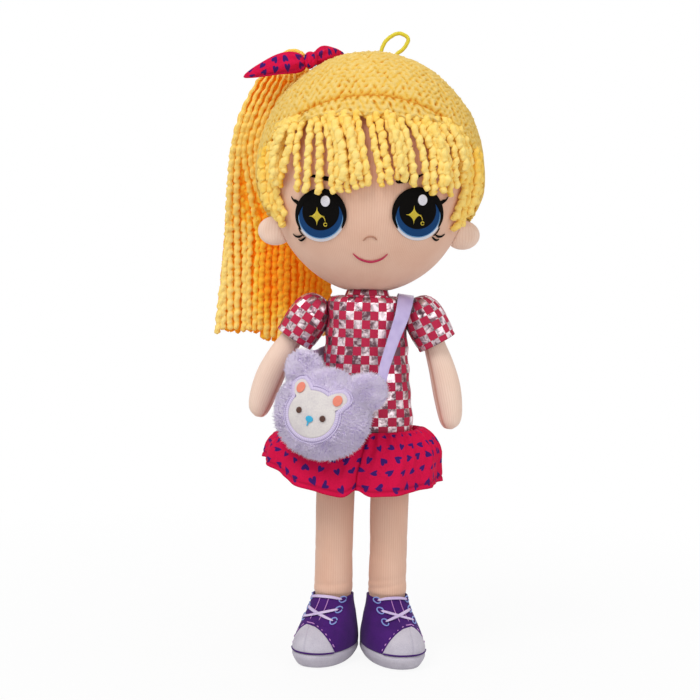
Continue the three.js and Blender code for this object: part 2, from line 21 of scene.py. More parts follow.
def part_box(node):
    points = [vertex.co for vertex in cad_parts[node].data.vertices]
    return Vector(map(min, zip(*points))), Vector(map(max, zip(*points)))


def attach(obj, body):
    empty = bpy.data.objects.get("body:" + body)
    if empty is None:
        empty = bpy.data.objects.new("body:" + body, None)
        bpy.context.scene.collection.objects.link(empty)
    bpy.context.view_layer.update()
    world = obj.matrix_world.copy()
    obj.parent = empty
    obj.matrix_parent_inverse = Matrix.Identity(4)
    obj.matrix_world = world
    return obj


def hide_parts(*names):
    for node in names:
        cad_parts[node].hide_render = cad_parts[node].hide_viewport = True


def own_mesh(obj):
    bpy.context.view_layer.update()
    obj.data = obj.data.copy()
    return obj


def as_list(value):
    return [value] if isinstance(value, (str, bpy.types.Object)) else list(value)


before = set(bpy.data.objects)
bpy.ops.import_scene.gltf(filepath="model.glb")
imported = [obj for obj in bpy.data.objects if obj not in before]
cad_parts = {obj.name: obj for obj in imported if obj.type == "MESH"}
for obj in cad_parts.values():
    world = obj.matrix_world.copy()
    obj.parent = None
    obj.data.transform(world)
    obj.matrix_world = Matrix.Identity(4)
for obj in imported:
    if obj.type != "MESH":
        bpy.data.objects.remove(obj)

log = logging.getLogger("rag_doll")
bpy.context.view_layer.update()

MM = 0.001
WELD = 0.003  # points closer than this are one, in millimetres
WAVE_PERIOD = 0.314  # the wave texture's bands lie this far apart at a scale of 1
head_low, head_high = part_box("head")
ORIGIN = Vector(((head_low[0] + head_high[0]) / 2, (head_low[1] + head_high[1]) / 2, 0))

Mesh = bmesh.types.BMesh
Socket = bpy.types.NodeSocket
Colour = tuple[float, float, float, float]
Inputs = dict[str | int, object]
Place = Callable[[float, float], Vector]
Lay = Callable[[float, float], tuple[float, float]]
Shade = Callable[[float, float], float]
Section = Callable[[int, float], tuple[float, float]]
Row = tuple[float, ...]
Rail = tuple[Vector, Vector, Vector]


class Side(Enum):
    """The doll's own right and left hand; the value is the sign of x."""

    RIGHT = -1
    LEFT = 1

    @property
    def word(self) -> str:
        """The side's name as the CAD nodes spell it."""
        return self.name.lower()

    def of(self, place: Vector) -> Vector:
        """The place on this side that answers to a place on the left."""
        return Vector((self.value * place.x, place.y, place.z))


def linear(code: str) -> Colour:
    """The linear red, green, blue and alpha of an sRGB colour in six hex digits."""
    values = [int(code[i : i + 2], 16) / 255 for i in (0, 2, 4)]
    return (*[v / 12.92 if v <= 0.04045 else ((v + 0.055) / 1.055) ** 2.4 for v in values], 1.0)


def mix(low: float, high: float, share: float) -> float:
    """The value that lies the given share of the way from low to high."""
    return low + (high - low) * share


def ease(value: float, low: float, high: float) -> float:
    """A smooth rise from 0 at low to 1 at high."""
    share = min(1.0, max(0.0, (value - low) / (high - low)))
    return share * share * (3 - 2 * share)


def bump(value: float, middle: float, half: float) -> float:
    """A smooth bump of 1 at the middle that fades within about twice the half width."""
    return math.exp(-(((value - middle) / half) ** 2))


def bent(value: float, power: float) -> float:
    """The value raised to a power with its sign kept."""
    return math.copysign(abs(value) ** power, value)


def direction(around: float, up: float) -> Vector:
    """The way from a ball's middle to an angle round it and an angle above its widest level."""
    return Vector((cos(up) * cos(around), cos(up) * sin(around), sin(up)))


def stretched(p: Vector, half: Vector) -> Vector:
    """The point with each of its parts made as many times longer as the other vector's part says."""
    return Vector((p.x * half.x, p.y * half.y, p.z * half.z))


def lengths(path: Sequence[Vector]) -> list[float]:
    """The distance along a path of each of its points."""
    run = [0.0]
    for a, b in zip(path, path[1:]):
        run.append(run[-1] + (b - a).length)
    return run


def smooth_path(places: Sequence[Sequence[float]], count: int) -> list[Vector]:
    """A smooth curve through places.

    Args:
        places: Two or more points that the curve passes.
        count: How many spans the returned curve has.

    Returns:
        count + 1 points, the first and last of them the first and last place.
    """
    points = [Vector(p) for p in places]
    points = [2 * points[0] - points[1], *points, 2 * points[-1] - points[-2]]
    spans = len(points) - 3
    found = []
    for i in range(count + 1):
        whole = min(int(i / count * spans), spans - 1)
        t = i / count * spans - whole
        a, b, c, d = points[whole : whole + 4]
        bend = (2 * a - 5 * b + 4 * c - d) * t * t + (3 * b - a - 3 * c + d) * t**3
        found.append(0.5 * (2 * b + (c - a) * t + bend))
    return found


def evened(path: Sequence[Vector], step: float) -> list[Vector]:
    """The same path with its points about step apart."""
    run = lengths(path)
    count = max(2, round(run[-1] / step))
    found, k = [], 0
    for i in range(count + 1):
        want = run[-1] * i / count
        while k < len(path) - 2 and run[k + 1] < want:
            k += 1
        share = (want - run[k]) / max(run[k + 1] - run[k], 1e-9)
        found.append(path[k].lerp(path[k + 1], min(1.0, share)))
    return found


def wrap(bm: Mesh, around: int, along: int, place: Place, lay: Lay, shade: Shade | None = None) -> None:
    """Adds a grid and bends it to a form.

    Args:
        bm: The mesh that the grid is added to.
        around: Faces across the grid.
        along: Faces up the grid.
        place: Gives a point for each pair of shares of the way across and up.
        lay: Gives the cloth's own place there, in millimetres, which the weave and print follow.
        shade: Gives from 0 to 1 how dark a point is painted: painted shade in the pile, hollows and creases,
            and the darker seams.
    """
    flat = bm.loops.layers.uv.verify()
    depth = bm.verts.layers.float.get("shade") or bm.verts.layers.float.new("shade")
    made = bmesh.ops.create_grid(bm, x_segments=around, y_segments=along, size=0.5)["verts"]
    share = {v: (v.co.x + 0.5, v.co.y + 0.5) for v in made}
    for face in {f for v in made for f in v.link_faces}:
        for loop in face.loops:
            loop[flat].uv = lay(*share[loop.vert])
    for v, (a, b) in share.items():
        v.co = place(a, b)
        if shade:
            v[depth] = shade(a, b)


def rails(path: Sequence[Vector], facing: Sequence[Vector] | None = None) -> list[Rail]:
    """Follows a path.

    Args:
        path: The points.
        facing: The way that the outer face looks at each point; without it there is no twist.

    Returns:
        The middle, the outward way and the sideways way at each point.
    """
    found = []
    out = Vector((0.3, -1, 0.2))
    for k, middle in enumerate(path):
        ahead = (path[min(k + 1, len(path) - 1)] - path[max(k - 1, 0)]).normalized()
        out = facing[k].copy() if facing else out
        out = (out - ahead * out.dot(ahead)).normalized()
        found.append((middle, out, ahead.cross(out)))
    return found


def sweep(
    bm: Mesh,
    path: Sequence[Vector],
    section: Section,
    sides: int,
    facing: Sequence[Vector] | None = None,
    shade: Shade | None = None,
) -> None:
    """Adds a tube along a path.

    Args:
        bm: The mesh that the tube is added to.
        path: The points that it follows.
        section: Gives the outward and sideways reach at a point's number and an angle.
        sides: Faces around the tube.
        facing: The way that the outer face looks at each point.
        shade: How dark each point is painted, mostly as painted shade, by its share around and along.
    """
    rail = rails(path, facing)
    last = len(path) - 1
    run = lengths(path)
    girth = 2 * pi * max(abs(section(last // 2, 0.0)[0]), 0.3)

    def place(u: float, v: float) -> Vector:
        """The tube's skin."""
        k = round(v * last)
        middle, out, across = rail[k]
        a, b = section(k, 2 * pi * u)
        return middle + out * a + across * b

    wrap(bm, sides, last, place, lambda u, v: (u * girth, run[round(v * last)]), shade)


def pressed(point: Vector, middle: Vector, radius: float) -> Vector:
    """The point, moved out of a ball that it may lie in."""
    away = point - middle
    return middle + away.normalized() * radius if away.length < radius else point


def area(bm: Mesh) -> float:
    """The mesh's area in square metres."""
    return sum(face.calc_area() for face in bm.faces) * MM * MM


def sew(
    bm: Mesh,
    name: str,
    body: str,
    finish: "Finish",
    replaces: Sequence[str] = (),
    wall: float = 0.0,
) -> bpy.types.Object:
    """Closes a mesh, moves it into the model's frame and hangs it on its body.

    Args:
        bm: The mesh in the doll's own millimetres. It is used up.
        name: The piece's name.
        body: The CAD body that it moves with.
        finish: What it is made of.
        replaces: The CAD nodes that it stands for.
        wall: The thickness of the cloth that the mesh is the outer face of, or 0 for a closed piece.

    Returns:
        The piece.
    """
    bmesh.ops.remove_doubles(bm, verts=bm.verts, dist=WELD)
    bmesh.ops.recalc_face_normals(bm, faces=bm.faces)
    bmesh.ops.transform(bm, matrix=Matrix.Translation(ORIGIN) @ Matrix.Scale(MM, 4), verts=bm.verts)
    mesh = bpy.data.meshes.new(name)
    bm.to_mesh(mesh)
    bm.free()
    mesh.shade_smooth()
    mesh.materials.append(finish.material())
    piece = bpy.data.objects.new(name, mesh)
    bpy.context.collection.objects.link(piece)
    if wall:
        thick = piece.modifiers.new("cloth", "SOLIDIFY")
        thick.thickness = wall * MM
        thick.offset = -1
    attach(piece, body)
    if replaces:
        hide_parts(*replaces)
    log.info("%s on %s: %d faces", name, body, len(mesh.polygons))
    return piece


@dataclass
class Graph:
    """The nodes of a material or of the room."""

    tree: bpy.types.NodeTree

    def add(self, kind: str, links: Inputs | None = None, **settings: object) -> bpy.types.NodeOutputs:
        """Adds a node.

        Args:
            kind: The node's type without its ShaderNode prefix.
            links: Input name or number to a value or to another node's output.
            settings: The node's own properties.

        Returns:
            Its outputs.
        """
        node = self.tree.nodes.new("ShaderNode" + kind)
        for key, value in settings.items():
            setattr(node, key, value)
        self.feed(node, links or {})
        return node.outputs

    def feed(self, node: bpy.types.Node, links: Inputs) -> None:
        """Sets or links a node's inputs; a text is a colour in six hex digits."""
        for key, value in links.items():
            if isinstance(value, Socket):
                self.tree.links.new(value, node.inputs[key])
            else:
                node.inputs[key].default_value = linear(value) if isinstance(value, str) else value


@dataclass(frozen=True)
class Finish:
    """What a piece is made of. Its name is the material's name."""

    name: str

    def material(self) -> bpy.types.Material:
        """The material, made the first time that it is asked for."""
        found = bpy.data.materials.get(self.name)
        if found is None:
            found = bpy.data.materials.new(self.name)
            found.use_nodes = True
            graph = Graph(found.node_tree)
            graph.feed(found.node_tree.nodes["Principled BSDF"], self.inputs(graph))
        return found

    def inputs(self, graph: Graph) -> Inputs:
        """What feeds the surface shader."""
        raise NotImplementedError


@dataclass(frozen=True)
class Jersey(Finish):
    """Brushed polyester tricot. Its knit shows as faint ribs, and its nap gives a soft edge light."""

    pale: str = "EBC3AC"
    warm: str = "DCA98E"
    # the colour of the seams, which also paints the fringe's shadow on the head
    seam: str = "C47E60"
    rib: float = 1.5  # the real wale is 0.6 mm, too fine to show
    nap: float = 0.45

    def inputs(self, graph: Graph) -> Inputs:
        """Ribs, fibre and a mottled flesh colour that deepens in the seams, with painted shade in the rib
        valleys and the fringe's painted shadow on the head.
        """
        add = graph.add
        lay = add("UVMap")[0]
        knit = {"Scale": WAVE_PERIOD / self.rib, "Distortion": 0.9, "Detail": 2.0, "Detail Scale": 0.7}
        ribs = add("TexWave", {"Vector": lay, **knit}, bands_direction="X")["Fac"]
        fibre = add("TexNoise", {"Vector": lay, "Scale": 1 / self.nap, "Detail": 3.0})["Fac"]
        cloud = add("TexNoise", {"Vector": lay, "Scale": 0.045, "Detail": 3.0})["Fac"]
        mottle = add("MapRange", {"Value": cloud, "From Min": 0.3, "From Max": 0.75, "To Max": 0.55})[0]
        ground = add("Mix", {0: mottle, 6: self.pale, 7: self.warm}, data_type="RGBA")[2]
        # painted shade in the valleys between the ribs
        rib_shade = add("MapRange", {"Value": ribs, "From Max": 0.45, "To Min": 0.45, "To Max": 0.0})[0]
        lined = add("Mix", {0: rib_shade, 6: ground, 7: self.warm}, data_type="RGBA")[2]
        depth = add("Attribute", attribute_name="shade")["Fac"]
        height = add("Math", {0: fibre, 1: 0.7, 2: ribs}, operation="MULTIPLY_ADD")[0]
        return {
            "Base Color": add("Mix", {0: depth, 6: lined, 7: self.seam}, data_type="RGBA")[2],
            "Normal": add("Bump", {"Height": height, "Strength": 0.28, "Distance": 0.22 * MM})[0],
            "Roughness": 0.86,
            "Sheen Weight": 0.22,
            "Sheen Roughness": 0.5,
            "Specular IOR Level": 0.3,
        }


@dataclass(frozen=True)
class Yarn(Finish):
    """Polyester chenille yarn. Its hollows are painted a warmer yellow as painted shade, and a faint painted
    glow in that colour stands in for the light that bounces about in its pile.
    """

    pale: str
    middle: str
    # deep: the colour of the painted shade in the hollows and of the painted glow
    deep: str
    fibre: float = 0.7  # the real pile is 0.02 mm thick, too fine to show
    painted_glow: float = 0.1  # a painted glow in the deep colour, for the light that the loose pile lets through, which keeps its hollows warm

    def inputs(self, graph: Graph) -> Inputs:
        """Fibre noise over the painted shade that the mesh carries, with a nap of the yarn's own colour and a
        painted glow.
        """
        add = graph.add
        spot = add("TexCoord")["Object"]
        fibre = add("TexNoise", {"Vector": spot, "Scale": 1000 / self.fibre, "Detail": 3.0})["Fac"]
        laid = add("Attribute", attribute_name="shade")["Fac"]
        swing = add("Math", {0: fibre, 1: 0.4, 2: -0.2}, operation="MULTIPLY_ADD")[0]
        depth = add("Math", {0: laid, 1: swing}, operation="ADD")[0]
        upper = add("MapRange", {"Value": depth, "From Min": 0.05, "From Max": 0.5})[0]
        lower = add("MapRange", {"Value": depth, "From Min": 0.5, "From Max": 1.0})[0]
        crest = add("Mix", {0: upper, 6: self.pale, 7: self.middle}, data_type="RGBA")[2]
        return {
            "Base Color": add("Mix", {0: lower, 6: crest, 7: self.deep}, data_type="RGBA")[2],
            "Normal": add("Bump", {"Height": fibre, "Strength": 0.7, "Distance": 0.8 * MM})[0],
            "Roughness": 0.95,
            "Sheen Weight": 0.2,
            "Sheen Roughness": 0.4,
            "Sheen Tint": self.pale,
            "Emission Color": self.deep,
            "Emission Strength": self.painted_glow,
            "Specular IOR Level": 0.12,
        }


@dataclass(frozen=True)
class Knitting:
    """Loose chenille knitting: soft lumps in staggered rows, with a small slanted hole between them."""

    wale: float = 4.6
    course: float = 3.7
    lump: float = 0.95
    pit: float = 1.5
    slant: float = 0.55

    def at(self, x: float, y: float) -> tuple[float, float]:
        """The fabric at a place on it.

        Args:
            x: Along a row, in millimetres.
            y: Across the rows, in millimetres.

        Returns:
            Its height in millimetres and its painted shade, dark in the holes and lighter on the lumps.
        """
        drift = noise.noise_vector(Vector((x, y, 0)) * 0.11)
        x, y = x + 1.7 * drift.x, y + 1.3 * drift.y
        hole = 0.0
        row = math.floor(y / self.course)
        for j in (row, row + 1):
            i = round(x / self.wale - 0.5 * (j % 2))
            dx, dy = x - (i + 0.5 * (j % 2)) * self.wale, y - j * self.course
            slant = self.slant if (i + j) % 2 else -self.slant
            depth = 0.35 + 0.65 * abs(noise.cell(Vector((i + 0.5, j + 0.5, 0.5))))
            hole += depth * math.exp(-(((dx - slant * dy) / 0.95) ** 2) - (dy / 1.45) ** 2)
        part = Vector((x / self.wale, y / self.course, 0))
        lump = noise.noise(part * 2.1) + 0.6 * noise.noise(part * 4.3)
        row_swell = 0.25 * cos(2 * pi * (y / self.course - 0.5))
        height = self.lump * lump + row_swell - self.pit * min(hole, 1.0)
        # painted shade: dark in the holes, lighter on the lumps
        return height, max(0.0, min(1.0, 0.14 + 1.1 * hole - 0.35 * lump))


@dataclass(frozen=True)
class FoilCheck(Finish):
    """Crimson polyester with squares of hot-stamped silver foil, which crinkles and mirrors in patches; its
    bright and dark patches are painted reflection.
    """

    cloth: str = "CA1748"
    cloth_dark: str = "A2123C"
    # the colour of the seams, which also paints shade in the armhole creases and at the sleeve tops
    seam: str = "5E1030"
    painted_reflection_bright: str = "F2DFE5"
    painted_reflection_dark: str = "65454F"
    square: float = 5.6

    def inputs(self, graph: Graph) -> Inputs:
        """Squares of foil with worn edges on a plain weave, with painted reflection that brightens and darkens
        the foil in patches and square by square.
        """
        add = graph.add
        lay = add("UVMap")[0]
        ragged = add("TexNoise", {"Vector": lay, "Scale": 1.4, "Detail": 2.0})["Color"]
        shift = add("VectorMath", {0: ragged, 1: (0.5, 0.5, 0.0)}, operation="MULTIPLY")[0]
        moved = add("VectorMath", {0: lay, 1: shift}, operation="ADD")[0]
        check = add("TexChecker", {"Vector": moved, "Scale": 1 / self.square})["Fac"]
        crinkle = add("TexNoise", {"Vector": lay, "Scale": 0.3, "Detail": 5.0, "Distortion": 0.8})["Fac"]
        patch = add("TexNoise", {"Vector": lay, "Scale": 0.07, "Detail": 2.0})["Fac"]
        tone = add("Math", {0: crinkle, 1: patch}, operation="ADD")[0]
        stamp = add("VectorMath", {0: moved, 1: (1 / self.square,) * 3}, operation="MULTIPLY")[0]
        stamp = add("VectorMath", {0: stamp}, operation="FLOOR")[0]
        own = add("TexWhiteNoise", {"Vector": stamp})["Value"]
        tone = add("Math", {0: own, 1: 0.2, 2: tone}, operation="MULTIPLY_ADD")[0]
        tone = add("MapRange", {"Value": tone, "From Min": 0.95, "From Max": 1.27})[0]
        # painted reflection: the foil's colour runs from dark to bright by crinkle, patch and square
        foil = add("Mix", {0: tone, 6: self.painted_reflection_dark, 7: self.painted_reflection_bright}, data_type="RGBA")[2]
        weave = add("TexNoise", {"Vector": lay, "Scale": 1.6, "Detail": 3.0})["Fac"]
        ground = add("Mix", {0: weave, 6: self.cloth_dark, 7: self.cloth}, data_type="RGBA")[2]
        worn = add("MapRange", {"Value": weave, "From Min": 0.27, "From Max": 0.33})[0]
        held = add("Math", {0: check, 1: worn}, operation="MULTIPLY")[0]
        colour = add("Mix", {0: held, 6: ground, 7: foil}, data_type="RGBA")[2]
        depth = add("Attribute", attribute_name="shade")["Fac"]
        height = add("Math", {0: crinkle, 1: held}, operation="ADD")[0]
        return {
            "Base Color": add("Mix", {0: depth, 6: colour, 7: self.seam}, data_type="RGBA")[2],
            "Metallic": add("Math", {0: held, 1: 0.82}, operation="MULTIPLY")[0],
            "Roughness": add("MapRange", {"Value": held, "To Min": 0.8, "To Max": 0.3})[0],
            "Normal": add("Bump", {"Height": height, "Strength": 0.55, "Distance": 0.9 * MM})[0],
        }


@dataclass(frozen=True)
class HeartPrint(Finish):
    """Crimson cotton with small purple hearts, roller printed, turned this way and that."""

    ground: str = "DC144A"
    fold: str = "B40A38"
    # the colour of the seams, which also paints shade in the skirt's gathers and the bow's crease
    seam: str = "7A0A2C"
    heart: str = "3F1D6C"
    spacing: float = 8.6
    size: float = 2.0

    def inputs(self, graph: Graph) -> Inputs:
        """A heart in each cell of a brick grid, moved and turned by the cell's own number."""
        add = graph.add
        lay = add("UVMap")[0]
        axes = add("SeparateXYZ", {0: lay})
        row = add("Math", {0: axes[1], 1: self.spacing * 0.92}, operation="DIVIDE")[0]
        row_number = add("Math", {0: row}, operation="FLOOR")[0]
        stagger = add("Math", {0: row_number, 1: 0.5}, operation="MULTIPLY")[0]
        column = add("Math", {0: axes[0], 1: 1 / self.spacing, 2: stagger}, operation="MULTIPLY_ADD")[0]
        grid = add("CombineXYZ", {0: column, 1: row})[0]
        cell = add("VectorMath", {0: grid}, operation="FLOOR")[0]
        lot = add("TexWhiteNoise", {"Vector": cell}, noise_dimensions="2D")
        local = add("VectorMath", {0: grid, 1: cell}, operation="SUBTRACT")[0]
        jitter = add("VectorMath", {0: lot["Color"], 1: (0.24, 0.24, 0.0)}, operation="MULTIPLY")[0]
        local = add("VectorMath", {0: local, 1: jitter}, operation="SUBTRACT")[0]
        local = add("VectorMath", {0: local, 1: (0.38, 0.38, 0.0)}, operation="SUBTRACT")[0]
        turn = add("Math", {0: lot["Value"], 1: 2 * pi}, operation="MULTIPLY")[0]
        turned = add("VectorRotate", {"Vector": local, "Angle": turn}, rotation_type="Z_AXIS")[0]
        scaled = add("VectorMath", {0: turned, "Scale": self.spacing / self.size}, operation="SCALE")[0]
        shape = add("SeparateXYZ", {0: scaled})
        wide = add("Math", {0: shape[0]}, operation="ABSOLUTE")[0]
        lobe = add("Math", {0: wide, 1: 0.667}, operation="POWER")[0]
        up = add("Math", {0: shape[1], 1: lobe}, operation="SUBTRACT")[0]
        up = add("Math", {0: up, 1: 0.35}, operation="ADD")[0]
        reach = add("Math", {0: up, 1: up}, operation="MULTIPLY")[0]
        reach = add("Math", {0: wide, 1: wide, 2: reach}, operation="MULTIPLY_ADD")[0]
        edge = {"From Min": 0.85, "From Max": 1.05, "To Min": 1.0, "To Max": 0.0}
        inked = add("MapRange", {"Value": reach, **edge})[0]
        weave = add("TexNoise", {"Vector": lay, "Scale": 1.8, "Detail": 3.0})["Fac"]
        tint = add("MapRange", {"Value": weave, "From Min": 0.2, "From Max": 0.8, "To Max": 0.35})[0]
        ground = add("Mix", {0: tint, 6: self.ground, 7: self.fold}, data_type="RGBA")[2]
        colour = add("Mix", {0: inked, 6: ground, 7: self.heart}, data_type="RGBA")[2]
        depth = add("Attribute", attribute_name="shade")["Fac"]
        crumple = add("TexNoise", {"Vector": lay, "Scale": 0.16, "Detail": 3.0, "Distortion": 0.6})["Fac"]
        height = add("Math", {0: crumple, 1: 9.0, 2: weave}, operation="MULTIPLY_ADD")[0]
        return {
            "Base Color": add("Mix", {0: depth, 6: colour, 7: self.seam}, data_type="RGBA")[2],
            "Normal": add("Bump", {"Height": height, "Strength": 0.6, "Distance": 0.3 * MM})[0],
            "Roughness": 0.85,
            "Specular IOR Level": 0.1,
        }


@dataclass(frozen=True)
class Stitching(Finish):
    """Trilobal embroidery thread laid in satin stitch: close ridges, each one thread wide, with painted shade
    between them.
    """

    colour: str
    # the colour of the painted shade between the threads
    dark: str
    pitch: float = 0.62  # the real thread is 0.35 mm, too fine to show
    gloss: float = 0.42
    shine: float = 0.45

    def inputs(self, graph: Graph) -> Inputs:
        """Ridges along the piece's own lay, with painted shade between the threads."""
        add = graph.add
        threads = {"Scale": WAVE_PERIOD / self.pitch, "Distortion": 0.6, "Detail": 1.0}
        ridge = add("TexWave", {"Vector": add("UVMap")[0], **threads}, bands_direction="Y")["Fac"]
        # painted shade in the gaps between the threads
        fall = {"From Min": 0.05, "From Max": 0.45, "To Min": 0.75, "To Max": 0.0}
        gap = add("MapRange", {"Value": ridge, **fall})[0]
        return {
            "Base Color": add("Mix", {0: gap, 6: self.colour, 7: self.dark}, data_type="RGBA")[2],
            "Normal": add("Bump", {"Height": ridge, "Strength": 0.5, "Distance": 0.2 * MM})[0],
            "Roughness": self.gloss,
            "Specular IOR Level": self.shine,
        }


@dataclass(frozen=True)
class Satin(Finish):
    """Woven satin ribbon: a smooth face that glows along its length, with fine weft lines."""

    colour: str = "C2B3DD"
    shadow: str = "9C8AC4"
    weft: float = 0.6  # the real weft is 0.2 mm, too fine to show

    def inputs(self, graph: Graph) -> Inputs:
        """Weft lines across the ribbon and a slow cloud along it."""
        add = graph.add
        lay = add("UVMap")[0]
        wefts = {"Vector": lay, "Scale": WAVE_PERIOD / self.weft, "Distortion": 0.4}
        ridge = add("TexWave", wefts, bands_direction="Y")["Fac"]
        cloud = add("TexNoise", {"Vector": lay, "Scale": 0.12, "Detail": 2.0})["Fac"]
        tint = add("MapRange", {"Value": cloud, "From Min": 0.35, "From Max": 0.8, "To Max": 0.6})[0]
        return {
            "Base Color": add("Mix", {0: tint, 6: self.colour, 7: self.shadow}, data_type="RGBA")[2],
            "Normal": add("Bump", {"Height": ridge, "Strength": 0.25, "Distance": 0.1 * MM})[0],
            "Roughness": 0.42,
            "Anisotropic": 0.4,
            "Sheen Weight": 0.25,
        }


@dataclass(frozen=True)
class Cloth(Finish):
    """Close plain weave or pressed felt: matt, with a fine grain and a slightly uneven dye."""

    colour: str = "E0DAD6"
    shadow: str = "C9C1C4"
    grain: float = 0.8
    relief: float = 0.3
    roughness: float = 0.85

    def inputs(self, graph: Graph) -> Inputs:
        """Grain noise and a slow cloud of dye, deeper in the seams."""
        add = graph.add
        spot = add("TexCoord")["Object"]
        grain = add("TexNoise", {"Vector": spot, "Scale": 1000 / self.grain, "Detail": 4.0})["Fac"]
        cloud = add("TexNoise", {"Vector": spot, "Scale": 90.0, "Detail": 3.0})["Fac"]
        both = add("Math", {0: grain, 1: cloud}, operation="ADD")[0]
        tint = add("MapRange", {"Value": both, "From Min": 0.75, "From Max": 1.3, "To Max": 0.8})[0]
        depth = add("Attribute", attribute_name="shade")["Fac"]
        tint = add("Math", {0: tint, 1: depth}, operation="ADD", use_clamp=True)[0]
        return {
            "Base Color": add("Mix", {0: tint, 6: self.colour, 7: self.shadow}, data_type="RGBA")[2],
            "Normal": add("Bump", {"Height": grain, "Strength": self.relief, "Distance": 0.3 * MM})[0],
            "Roughness": self.roughness,
            "Sheen Weight": 0.06,
            "Specular IOR Level": 0.15,
        }


@dataclass(frozen=True)
class Paper(Finish):
    """The studio's pale floor. The camera sees it nearly white, and it still takes the doll's shadow."""

    colour: str = "E2E2E2"
    reach: float = 0.62

    def inputs(self, graph: Graph) -> Inputs:
        """Plain paper near the doll that fades to white light further away."""
        add, nodes = graph.add, graph.tree.nodes
        white = add("Emission", {"Color": (1, 1, 1, 1), "Strength": 1.0})[0]
        rays = add("LightPath")
        seen = add("Math", {0: rays["Is Camera Ray"], 1: rays["Is Glossy Ray"]}, operation="MAXIMUM")[0]
        away = add("VectorMath", {0: add("TexCoord")["Object"]}, operation="LENGTH")["Value"]
        fade = {"From Min": 0.05, "From Max": self.reach, "To Min": 0.9, "To Max": 1.0}
        fade = add("MapRange", {"Value": away, **fade})[0]
        share = add("Math", {0: fade, 1: seen}, operation="MULTIPLY")[0]
        blend = add("MixShader", {0: share, 1: nodes["Principled BSDF"].outputs[0], 2: white})[0]
        graph.feed(nodes["Material Output"], {"Surface": blend})
        return {"Base Color": self.colour, "Roughness": 0.9}


SKIN = Jersey("skin_brushed_tricot")
# a paler copy of the skin cloth for the arms and ears, as painted light for the more light that falls on them
LIT_SKIN = Jersey("skin_tricot_lit_copy", "F5D9C8", "E8C3AC", "C8866A")
KNITTING = Knitting()
CAP_YARN = Yarn("hair_cap_hand_knit_chenille", "EFD384", "EABF52", "D0780C", painted_glow=0.06)
FRINGE_YARN = Yarn("fringe_chenille_yarn", "FBE38C", "F9CF58", "EC9A1C")
TAIL_YARN = Yarn("ponytail_chenille_yarn", "FBE38A", "FBC942", "FC8600")
DRESS = FoilCheck("dress_foil_stamped_polyester")
HEARTS = HeartPrint("skirt_roller_printed_cotton")
SATIN = Satin("strap_woven_satin_ribbon")
PLUSH = Yarn("bag_long_pile_plush", "F3EAFA", "E8DBF6", "D8C8F0", fibre=0.9)
FELT = Cloth("bag_face_pressed_felt", grain=0.9)
CANVAS = Cloth("shoe_dyed_canvas", "4A1A72", "351258", 0.55, 0.35, 0.8)
WHITE_CLOTH = Cloth("shoe_white_twill", "CCC7D1", "B2ACBB", 0.6, 0.35, 0.82)
LOOP_CORD = Stitching("loop_braided_polyester_cord", "E6D62E", "B8A418", 0.9, 0.5)
BLACK_THREAD = Stitching("thread_black_rayon", "0B0908", "040303", gloss=0.75, shine=0.06)
BLUE_THREAD = Stitching("thread_blue_rayon", "13457C", "0A284B", gloss=0.6, shine=0.12)
SKY_THREAD = Stitching("thread_sky_rayon", "6FA6D6", "4478AE")
WHITE_THREAD = Stitching("thread_white_rayon", "EDEAF0", "C9C8D4")
GOLD_THREAD = Stitching("thread_gold_rayon", "DEC52E", "A88F18", 0.5)
RED_THREAD = Stitching("thread_crimson_rayon", "C41E4C", "8E1236", 0.6)
PEACH_THREAD = Stitching("thread_flesh_rayon", "C08A70", "9E6A52", 0.5)
BROWN_THREAD = Stitching("thread_brown_rayon", "552A18", "30150B", 0.5)
CORAL_THREAD = Stitching("thread_coral_rayon", "F58F76", "D56A54", 0.55)
CYAN_THREAD = Stitching("thread_turquoise_rayon", "32B8E4", "1B8FBC", 0.5)
LILAC_THREAD = Stitching("thread_lilac_rayon", "D6CAE6", "AFA0CB", 1.2, 0.7, 0.2)
LACE_PRINT = Cloth("shoe_lace_flat_braid", "DCCDEB", "BFA9D8", 0.5)
EYELET_PRINT = Cloth("shoe_eyelet_enamel_ring", "93A6E2", "6E80C6", 0.5, roughness=0.5)
PINK_THREAD = Stitching("thread_orchid_polyester", "CC90D4", "A468B0", 0.8)


